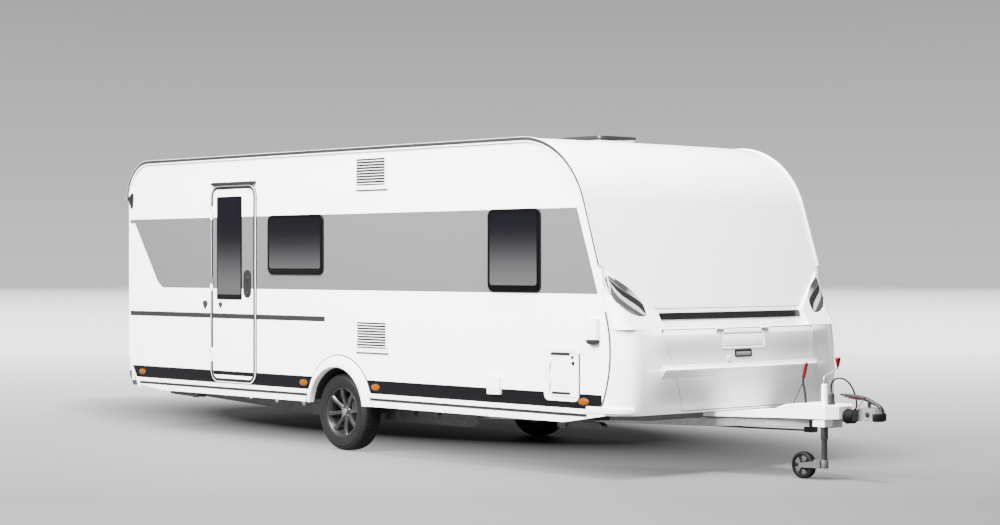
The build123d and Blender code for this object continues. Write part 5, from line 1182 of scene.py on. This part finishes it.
# Door catch
# Two small dark grey wedges of moulded plastic that clip together and hold the open door, one on the
# wall and one on the leaf.
CATCH_Z = 1.208
CATCH_WALL_X = -2.687
CATCH_LEAF_X = -2.436


def wedge(x, half, tall):
    """A rounded wedge that points down, as an outline round (x, CATCH_Z): an ellipse whose width shrinks
    with its sine."""
    angle = np.linspace(0.0, 2 * pi, 40, endpoint=False)
    narrow = 0.60 + 0.40 * np.sin(angle)
    return np.stack([x + half * narrow * np.cos(angle), CATCH_Z + tall / 2 * np.sin(angle)], axis=-1)


catch_grey = moulded("catch_grey", (0.016, 0.016, 0.0165), 0.5)
catch_wall = on_side(crowned(wedge(CATCH_WALL_X, 0.056, 0.080), 0.008, 0.004), 1, 0.004)
piece("door_catch_wall", "caravan", "black_plastic", catch_grey, catch_wall)
catch_leaf = on_side(crowned(wedge(CATCH_LEAF_X, 0.046, 0.056), 0.006, 0.003), 1, DOOR_FACE + 0.003)
piece("door_catch_leaf", "entry_door", "black_plastic", catch_grey, catch_leaf)

# Rear corner lamps
# A dark red lamp with a slanted outline, stuck to the wall at each upper rear corner.
CORNER_LAMP = np.array([
    (-3.954, 2.204), (-3.886, 2.256), (-3.877, 2.244), (-3.879, 2.180), (-3.889, 2.112), (-3.897, 2.108),
])
CORNER_LAMP_OUT = 0.0185
corner_red = lens_plastic("corner_lamp_red", (0.011, 0.008, 0.008), 180.0)
corner_outline = fine_rows(CORNER_LAMP[None])[0]
corner_rows = [on_side(crowned(corner_outline, 0.004, 0.018), side, CORNER_LAMP_OUT) for side in (1, -1)]
piece("corner_lamps", "caravan", "lamp_red", corner_red, *corner_rows)

# Rear lamps
# Red clusters low at each corner and small ones above, set on the rear wall.
coat_nodes(lens_plastic("rear_lamp_red", (0.20, 0.004, 0.006), 90.0), "rear_lamps")
soften(0.006, "rear_lamps")

# Rooflight
# A low white frame on the roof with a flat smoked lid over it.
ROOFLIGHT = (1.1301, 0.0)
ROOFLIGHT_HALF = (0.228, 0.209)
ROOFLIGHT_LID_HALF = (0.236, 0.218)


def on_roof(rows, out):
    """Carries (u, v, height) rows to the roof: u to X, v to Y, height upwards."""
    return np.stack([rows[..., 0], rows[..., 1], ROOF_Z + out + rows[..., 2]], axis=-1)


frame_outline = oval(*ROOFLIGHT, *ROOFLIGHT_HALF, 7.0, 64)
frame_rows = on_roof(crowned(frame_outline, 0.006, 0.034), 0.034)
rooflight_frame = piece("rooflight_frame", "caravan", "trim_white", trim_white, frame_rows)
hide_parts("rooflight")
smoke = moulded("rooflight_smoke", (0.014, 0.014, 0.015), 0.16, 300.0, 0.00005)
lid_outline = oval(*ROOFLIGHT, *ROOFLIGHT_LID_HALF, 9.0, 64)
lid_rows = on_roof(crowned(lid_outline, 0.006, 0.026, power=6.0, rings=12), 0.068)
piece("rooflight_lid", "caravan", "black_plastic", smoke, lid_rows)

# Floor and locker board
# Sealed sandwich board, black below and on its edges, with a zinc-coated rail under the nose.
FLOOR_RAIL_X = 2.30
BOARD_BLACK = (0.012, 0.012, 0.0125)
FLOOR_RAIL_ZINC = (0.13, 0.13, 0.132)


def floor_rail(tree, x, y, z):
    """One at the front of the board, which a zinc-coated rail covers."""
    return work(tree, "GREATER_THAN", x, FLOOR_RAIL_X)


coat_nodes(two_tone("floor_board", BOARD_BLACK, FLOOR_RAIL_ZINC, floor_rail, 0.7), "floor_panel")
coat_nodes(moulded("locker_board", (0.30, 0.29, 0.27), 0.7), "locker_bulkhead")

# Chassis
# Hot-dip galvanised steel with its spangle: bright box-section arms, and channel rails, cross
# members, axle and steadies in a darker copy of the zinc, painted shade under the body, all bolted together.
SHADED_ZINC = (0.09, 0.09, 0.092)


def galvanised_steel(name, colour=(0.36, 0.365, 0.37), rough=0.46, cell=55.0, metal=0.7):
    """Zinc coat: crystal cells of slightly different grey and gloss, with stains."""
    material, tree, shader = finish(name, colour, rough, metallic=metal)
    vector = place(tree)[-1]
    cells = tree.nodes.new("ShaderNodeTexVoronoi")
    cells.inputs["Scale"].default_value = cell
    tree.links.new(vector, cells.inputs["Vector"])
    grey = tree.nodes.new("ShaderNodeSeparateColor")
    tree.links.new(cells.outputs["Color"], grey.inputs[0])
    stains = work(tree, "MULTIPLY", clouds(tree, vector, 6.0, 4.0), 0.7)
    shade = work(tree, "ADD", work(tree, "MULTIPLY", grey.outputs[0], 0.5), stains)
    tone = blend_colour(tree, shade, toned(colour, 0.74), toned(colour, 1.15))
    tree.links.new(tone, shader.inputs["Base Color"])
    tree.links.new(spread(tree, grey.outputs[1], rough - 0.08, rough + 0.1), shader.inputs["Roughness"])
    return material


galvanised = galvanised_steel("galvanised_steel")
coat_nodes(galvanised, "drawbar_arms", "overrun_tube")
# Painted shade: a darker copy of the zinc for the parts under the body.
coat_nodes(
    galvanised_steel("shaded_galvanised_steel", SHADED_ZINC, 0.55), "chassis_rails", "cross_members", "axle",
    "steady_mounts", "steady_front_right", "steady_front_left", "steady_rear_right", "steady_rear_left",
)
soften(0.006, "drawbar_arms")

# Brake rod
# A dark steel rod under the floor from the axle to the drawbar, where a black plastic block guides it.
ROD_BLOCK = (3.290, 3.372, 0.334, 0.384)
ROD_BLOCK_HALF = 0.030
dark_steel = galvanised_steel("dark_gunmetal", (0.035, 0.035, 0.037), 0.34, 120.0)
rod_line = through([(-0.550, 0.0, 0.298), (0.400, 0.0, 0.306), (2.400, 0.0, 0.330), (3.300, 0.0, 0.346)])
piece("brake_rod", "caravan", "galvanised", dark_steel, swept(rod_line, ring(0.007, 10)))
block_line = rounded(*ROD_BLOCK, 0.008)
block_rows = np.stack([on_plane_y(block_line, y) for y in (-ROD_BLOCK_HALF, ROD_BLOCK_HALF)])
piece("brake_rod_block", "caravan", "black_plastic", black_plastic, block_rows)

# Coupling head
# Cast ball coupling, black at its neck and zinc-plated over the ball, with a bolt through each cheek.
BALL_X = 3.910
HEAD_BRIGHT_X = (3.800, 3.850)
HEAD_ZINC = (0.42, 0.42, 0.418)
NECK_BLACK = (0.020, 0.020, 0.021)
CHEEK_BOLT = (3.893, 0.0538, 0.495)


def plated_steel(name):
    """Bright zinc plate with small crystal cells."""
    return galvanised_steel(name, HEAD_ZINC, 0.26, 160.0, 0.85)


def coupling_finish(name):
    """Zinc plate that passes into black along X, towards the neck."""
    material = plated_steel(name)
    tree = material.node_tree
    shader = tree.nodes["Principled BSDF"]
    bright = spread(tree, place(tree)[0], 0.0, 1.0, *HEAD_BRIGHT_X)
    zinc = shader.inputs["Base Color"].links[0].from_socket
    tree.links.new(blend_colour(tree, bright, NECK_BLACK, zinc), shader.inputs["Base Color"])
    return material


head_steel = plated_steel("zinc_plated_steel")
coat_nodes(coupling_finish("coupling_steel"), "coupling_head")
soften(0.009, "coupling_head")
bolt_profile = [
    (0.0, 0.012), (0.009, 0.012), (0.010, 0.010), (0.010, 0.005), (0.019, 0.004), (0.020, 0.002),
    (0.020, -0.003), (0.0, -0.003),
]
cheek_bolts = [
    turned(bolt_profile, (CHEEK_BOLT[0], side * CHEEK_BOLT[1], CHEEK_BOLT[2]), (0, side, 0), 28)
    for side in (1, -1)
]
piece("coupling_bolts", "caravan", "head_steel", bright_metal, *cheek_bolts)

# Bellows
# Folded rubber sleeve over the overrun tube, a little narrower towards the coupling head.
TUBE_Z = 0.470
TUBE_R = 0.030
BELLOWS_X = (3.665, 3.740)
BELLOWS_FOLDS = 6
fold_x = np.linspace(*BELLOWS_X, 16 * BELLOWS_FOLDS + 1)
fold_turn = (fold_x - BELLOWS_X[0]) / (BELLOWS_X[1] - BELLOWS_X[0])
fold_r = 0.047 + 0.0085 * np.abs(np.sin(pi * BELLOWS_FOLDS * fold_turn)) ** 0.8 - 0.006 * fold_turn
fold_ends = [(TUBE_R + 0.001, x) for x in BELLOWS_X]
bellows_profile = np.concatenate([fold_ends[:1], np.stack([fold_r, fold_x], axis=-1), fold_ends[1:]])
bellows_rows = joined(turned(bellows_profile, (0.0, 0.0, TUBE_Z), (1, 0, 0), 48))
bellows = piece(
    "bellows_folds", "caravan", "bellows_rubber", soft_rubber, bellows_rows, ends=False, sharp=70.0,
)
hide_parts("bellows")

# Soft tip
# A rubber bumper round the nose of the coupling head, pushed on.
TIP_R = 0.0826
TIP_Z = 0.478
TIP_SPREAD = radians(60.0)
tip_bow = arc(BALL_X, 0.0, TIP_R, -TIP_SPREAD, TIP_SPREAD, 33)
tip_line = np.insert(tip_bow, 2, TIP_Z, axis=1)
tip_profile = oval(0.0, 0.0, 0.0074, 0.028, 3.0, 24)
tip_rows = swept(tip_line, tip_profile)
soft_tip = piece("soft_tip", "caravan", "black_plastic", soft_rubber, tip_rows, sharp=60.0)
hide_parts("coupling_tip")

# Stabiliser lever
# A black lever that arches over the head and grows thinner to its tip, on a post, with a red tail, a red
# line along its side and a red release pin.
LEFT_OUT = (0.0, 1.0, 0.0)
LEVER_THIN = 0.45
lever_line = through([
    (3.652, 0.0, 0.622), (3.720, 0.0, 0.618), (3.790, 0.0, 0.612), (3.850, 0.0, 0.600), (3.905, 0.0, 0.578),
    (3.950, 0.0, 0.560), (3.978, 0.0, 0.540), (3.990, 0.0, 0.512), (3.991, 0.0, 0.490),
], 10)
lever_share = 1.0 - LEVER_THIN * ramp_up(np.linspace(0.0, 1.0, len(lever_line)), 0.35, 0.85)
lever_rows = thinned(swept(lever_line, oval(0.0, 0.0, 0.016, 0.0145, 3.5, 20)), lever_line, lever_share)
stabiliser = piece("stabiliser_arm", "caravan", "black_plastic", black_plastic, lever_rows, sharp=50.0)
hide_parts("stabiliser_lever")
dark_red = moulded("dark_red_plastic", (0.035, 0.002, 0.003), 0.45, gloss=0.12)
red_plastic = moulded("red_plastic", (0.085, 0.0015, 0.003), 0.45, gloss=0.12)
tail_line = through([(3.613, 0.0, 0.627), (3.640, 0.0, 0.624), (3.672, 0.0, 0.620)])
tail_rows = swept(tail_line, rounded(-0.012, 0.012, -0.007, 0.007, 0.005, 4))
piece("stabiliser_tail", "caravan", "grip_red", dark_red, tail_rows)
trim_line = through([(3.690, -0.0165, 0.604), (3.740, -0.0165, 0.600), (3.800, -0.0165, 0.596)])
piece("stabiliser_trim", "caravan", "grip_red", red_plastic, swept(trim_line, ring(0.0035, 8)))
pin_line = through([
    (3.843, -0.018, 0.622), (3.838, -0.030, 0.600), (3.820, -0.050, 0.555), (3.812, -0.056, 0.520),
])
piece("release_pin", "caravan", "grip_red", red_plastic, swept(pin_line, ring(0.003, 8), up=LEFT_OUT))
post_line = np.array([(3.872, 0.0, 0.588), (3.868, 0.0, 0.568), (3.868, 0.0, 0.535)])
post_rows = swept(post_line, ring(0.013, 16), up=LEFT_OUT)
piece("stabiliser_post", "caravan", "black_plastic", black_plastic, post_rows)

# Handbrake
# A black lever with a ribbed red grip that leans forward, and the thin rod of its gas spring.
GRIP_AXIS = (0.26, 0.0, 1.0)
GRIP_FOOT = (3.261, 0.0, 0.735)
GRIP_LONG = 0.118
GRIP_R = 0.0145
GRIP_RIB = 0.0236
grip_along = np.linspace(0.0, GRIP_LONG, 49)
grip_r = GRIP_R - 0.0012 * np.cos(2 * pi * grip_along / GRIP_RIB) ** 2
grip_r[-4:] = (0.0132, 0.0120, 0.0095, 0.0060)
grip_side = np.stack([grip_r, grip_along], axis=-1)
grip_profile = np.concatenate([[(0.0, 0.0)], grip_side, [(0.0, GRIP_LONG + 0.0005)]])
grip_rows = turned(grip_profile, GRIP_FOOT, GRIP_AXIS, 28)
brake_grip = piece("brake_grip", "caravan", "grip_red", red_plastic, grip_rows, sharp=60.0)
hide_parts("handbrake_lever")
bar_line = through([
    (3.284, 0.0, 0.505), (3.283, 0.0, 0.560), (3.272, 0.0, 0.640), (3.258, 0.0, 0.700), (3.264, 0.0, 0.748),
])
bar_black = moulded("lever_black", (0.012, 0.012, 0.013), 0.4)
bar_rows = swept(bar_line, rounded(-0.006, 0.006, -0.008, 0.008, 0.003, 4), up=LEFT_OUT)
piece("brake_bar", "caravan", "black_plastic", bar_black, bar_rows)
spring_line = np.array([(3.160, 0.0, 0.505), (3.163, 0.0, 0.535), (3.210, 0.0, 0.618), (3.256, 0.0, 0.700)])
spring_rows = swept(spring_line, ring(0.0038, 10), up=LEFT_OUT)
piece("brake_spring_rod", "caravan", "black_plastic", bar_black, spring_rows)

# Jockey wheel
# A white outer tube with a dark lower sleeve, a zinc crank and a red cone knob, a dark inner leg that
# slides in it, and a pressed steel fork.
JOCKEY_X = 3.545
JOCKEY_Y = -0.108
KNOB_X = 3.668


def upright(profile, x=JOCKEY_X, steps=40):
    """A profile (radius, height) turned round an upright line through x and the jockey wheel's Y."""
    return turned(profile, (x, JOCKEY_Y, 0.0), (0, 0, 1), steps)


white_tube = moulded("tube_white_enamel", (0.82, 0.82, 0.82), 0.25)
tube_profile = [
    (0.0, 0.706), (0.012, 0.706), (0.020, 0.702), (0.0225, 0.694), (0.0225, 0.560), (0.0275, 0.545),
    (0.0275, 0.392), (0.0, 0.392),
]
jockey_tube = piece("jockey_upper_tube", "caravan", "trim_white", white_tube, upright(tube_profile))
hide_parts("jockey_tube")
sleeve_profile = [(0.0225, 0.300), (0.0270, 0.300), (0.0278, 0.304), (0.0278, 0.393), (0.0225, 0.393)]
sleeve_rows = joined(upright(sleeve_profile))
piece("jockey_lower_tube", "caravan", "head_steel", dark_steel, sleeve_rows, ends=False)
spindle_profile = [(0.0, 0.757), (0.009, 0.757), (0.0105, 0.754), (0.0125, 0.706), (0.0, 0.706)]
piece("jockey_spindle", "caravan", "head_steel", head_steel, upright(spindle_profile, steps=24))
crank_line = through(on_plane_y([
    (JOCKEY_X, 0.740), (JOCKEY_X, 0.756), (JOCKEY_X + 0.018, 0.770), (KNOB_X - 0.022, 0.812),
    (KNOB_X - 0.003, 0.824), (KNOB_X, 0.840),
], JOCKEY_Y))
crank_rows = swept(crank_line, ring(0.0058, 12), up=LEFT_OUT)
piece("jockey_crank", "caravan", "head_steel", head_steel, crank_rows)
knob_profile = [
    (0.0, 0.830), (0.0075, 0.830), (0.0120, 0.850), (0.0190, 0.880), (0.0208, 0.890), (0.0200, 0.897),
    (0.0150, 0.9025), (0.0, 0.904),
]
piece("jockey_knob", "caravan", "grip_red", red_plastic, upright(knob_profile, KNOB_X, 28), sharp=60.0)
coat_nodes(dark_steel, "jockey_leg")
fork_steel = galvanised_steel("fork_steel", (0.11, 0.11, 0.11), 0.45, 90.0)
coat_nodes(fork_steel, "jockey_fork")
soften(0.003, "jockey_fork", "jockey_clamp")

# Jockey roller
# A black plastic wheel with a solid tyre, and grey panels let in between its five ribs on both faces.
ROLLER = (3.355, JOCKEY_Y, 0.100)
ROLLER_RIBS = 5
PANEL_HALF_TURN = radians(21.0)
roller_black = moulded("roller_black_rubber", (0.0028, 0.0028, 0.003), 0.6, gloss=0.12)
roller_grey = moulded("roller_grey_plastic", (0.040, 0.040, 0.041), 0.5)
roller_half = [
    (0.011, 0.028), (0.022, 0.028), (0.024, 0.026), (0.026, 0.020), (0.074, 0.020), (0.078, 0.0285),
    (0.088, 0.029), (0.097, 0.024), (0.100, 0.012),
]
roller_profile = roller_half + [(radius, -along) for radius, along in reversed(roller_half)]
roller_rows = joined(turned(roller_profile, ROLLER, LEFT_OUT, 64))
roller = piece("roller_tyre", "jockey_roller", "jockey_rubber", roller_black, roller_rows, ends=False)
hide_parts("jockey_wheel")


def panel_rows(face, turn):
    """One grey panel between two ribs of the roller: a ring sector, slightly crowned, on one face."""
    share = np.linspace(0.0, 1.0, 11)[None, :]
    reach = np.array([0.030, 0.030, 0.034, 0.066, 0.070, 0.070])[:, None]
    out = np.array([0.0190, 0.0212, 0.0222, 0.0222, 0.0212, 0.0190])[:, None]
    angle = turn + PANEL_HALF_TURN * (2 * share - 1.0)
    x = ROLLER[0] + reach * np.cos(angle)
    y = np.broadcast_to(ROLLER[1] + face * out, x.shape)
    z = ROLLER[2] + reach * np.sin(angle)
    return np.stack([x, y, z], axis=-1).transpose(1, 0, 2)


panels = [panel_rows(face, 2 * pi * k / ROLLER_RIBS) for k in range(ROLLER_RIBS) for face in (1, -1)]
piece("roller_panels", "jockey_roller", "jockey_rubber", roller_grey, *panels)

# Tow lead
# A seven-core cable in a black jacket. It comes out of the front of the drawbar cover, rises over
# the stabiliser in an arc and goes down into its plug, which is parked on the cover.
LEAD_ROUTE = [
    (3.520, 0.000, 0.660), (3.520, 0.000, 0.732), (3.620, 0.022, 0.752), (3.692, 0.048, 0.672),
    (3.722, 0.064, 0.508), (3.655, 0.064, 0.508),
]
LEAD_DIAMETER = 0.013
lead_curve = bpy.data.curves.new("tow_lead", "CURVE")
lead_curve.dimensions = "3D"
lead_curve.bevel_depth = LEAD_DIAMETER / 2
lead_curve.bevel_resolution = 4
lead_curve.resolution_u = 24
lead_curve.use_fill_caps = True
spline = lead_curve.splines.new("NURBS")
spline.points.add(len(LEAD_ROUTE) - 1)
spline.points.foreach_set("co", np.insert(np.array(LEAD_ROUTE), 3, 1.0, axis=1).ravel())
spline.order_u = 3
spline.use_endpoint_u = True
lead_curve.materials.append(moulded("lead_jacket", (0.005, 0.005, 0.0053), 0.5, gloss=0.12))
tow_lead = bpy.data.objects.new("tow_lead", lead_curve)
bpy.context.scene.collection.objects.link(tow_lead)
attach(tow_lead, "caravan")
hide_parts("lead_cable")
coat_nodes(moulded("plug_grey", (0.022, 0.022, 0.023), 0.5), "lead_plug")
soften(0.003, "lead_plug")

# Studio floor
# A pale floor with a painted glow that grows lighter with the distance behind the object, and it fades out
# into the backdrop. A painted shadow makes it darker where the body keeps the room's light off it.
FLOOR_REACH = 260.0
FLOOR_RUN = (-0.736, 0.677)
FLOOR_NEAR = -4.0
FLOOR_FAR = 20.0
FLOOR_PAINTED_GLOW = 2.9
FLOOR_GREY = (0.075, 0.075, 0.075)
SHADE = (-2.6, 1.3, 5.9, 2.4)
SHADE_GREY = (0.020, 0.020, 0.020)
SHADE_EDGE = (0.25, 1.0)
FADE = (40.0, 125.0)


def squared(tree, value, middle=0.0, half=1.0):
    """Square of a place's distance from a middle, measured in halves."""
    return work(tree, "POWER", work(tree, "DIVIDE", work(tree, "SUBTRACT", value, middle), half), 2.0)


def floor_finish(name):
    """Pale paint with a painted shadow, a dark ellipse under the body whose edge is soft, a painted glow that
    grows along the view, and an alpha that falls to nothing with the distance from the object."""
    material, tree, shader = finish(name, FLOOR_GREY, 0.7)
    shader.inputs["Specular IOR Level"].default_value = 0.1
    x, y, z, vector = place(tree)
    # Painted shadow: darker in a soft ellipse under the body.
    ellipse = work(tree, "ADD", squared(tree, x, SHADE[0], SHADE[2]), squared(tree, y, SHADE[1], SHADE[3]))
    shaded = spread(tree, ellipse, 1.0, 0.0, *SHADE_EDGE)
    tree.links.new(blend_colour(tree, shaded, FLOOR_GREY, SHADE_GREY), shader.inputs["Base Color"])
    # Painted light: an emission that grows along the view, kept off the painted shadow.
    run = work(tree, "ADD", work(tree, "MULTIPLY", x, FLOOR_RUN[0]), work(tree, "MULTIPLY", y, FLOOR_RUN[1]))
    rise = spread(tree, run, 0.0, FLOOR_PAINTED_GLOW, FLOOR_NEAR, FLOOR_FAR)
    painted_glow = work(tree, "MULTIPLY", rise, work(tree, "SUBTRACT", 1.0, shaded))
    tree.links.new(painted_glow, shader.inputs["Emission Strength"])
    shader.inputs["Emission Color"].default_value = (1.0, 1.0, 1.0, 1.0)
    away = work(tree, "SQRT", work(tree, "ADD", squared(tree, x), squared(tree, y)))
    tree.links.new(spread(tree, away, 1.0, 0.0, *FADE), shader.inputs["Alpha"])
    return material


floor_corners = [(x * FLOOR_REACH, y * FLOOR_REACH, 0.0) for x, y in ((-1, -1), (1, -1), (1, 1), (-1, 1))]
floor_mesh = bpy.data.meshes.new("studio_floor")
floor_mesh.from_pydata(floor_corners, [], [(0, 1, 2, 3)])
floor_mesh.materials.append(floor_finish("studio_floor"))
floor = bpy.data.objects.new("studio_floor", floor_mesh)
bpy.context.scene.collection.objects.link(floor)

# Studio backdrop and lights
# A grey backdrop, paler at the horizon, a large soft light high on the door side, a weak one overhead
# and one above the front.
SKY_LOW = 0.80
SKY_HIGH = 0.46
SKY_RISE = 0.13
world = bpy.data.worlds.new("studio")
bpy.context.scene.world = world
world.use_nodes = True
sky_tree = world.node_tree
direction = sky_tree.nodes.new("ShaderNodeTexCoord")
upward = sky_tree.nodes.new("ShaderNodeSeparateXYZ")
sky_tree.links.new(direction.outputs["Generated"], upward.inputs[0])
sky = spread(sky_tree, upward.outputs["Z"], SKY_LOW, SKY_HIGH, 0.0, SKY_RISE)
sky_tree.links.new(sky, sky_tree.nodes["Background"].inputs["Color"])


def soft_box(name, where, aim, size, power):
    """A square area light at a point, turned to another."""
    data = bpy.data.lights.new(name, "AREA")
    data.size = size
    data.energy = power
    light = bpy.data.objects.new(name, data)
    light.location = where
    light.rotation_euler = (Vector(aim) - Vector(where)).to_track_quat("-Z", "Y").to_euler()
    bpy.context.scene.collection.objects.link(light)


soft_box("light_overhead", (0.0, 0.0, 9.0), (0.0, 0.0, 0.0), 7.0, 800)
soft_box("light_door_side", (0.5, -10.5, 9.0), (-0.7, 0.0, 1.2), 8.0, 13000)
soft_box("light_front", (4.8, -2.8, 11.5), (2.6, -0.2, 1.0), 4.0, 6600)

# Camera
# Eye height, level, looking at the right front corner as the photograph does.
CAMERA_AT = (13.214, -12.215, 1.587)
CAMERA_TILT = 89.963
CAMERA_TURN = 47.41
SENSOR_WIDE = 36.0
LENS_LONG = 75.47
LENS_SHIFT = 0.002
camera_data = bpy.data.cameras.new("photo_camera")
camera_data.sensor_width = SENSOR_WIDE
camera_data.lens = LENS_LONG
camera_data.shift_y = LENS_SHIFT
camera = bpy.data.objects.new("photo_camera", camera_data)
camera.location = CAMERA_AT
camera.rotation_euler = (radians(CAMERA_TILT), 0.0, radians(CAMERA_TURN))
bpy.context.scene.collection.objects.link(camera)
bpy.context.scene.camera = camera
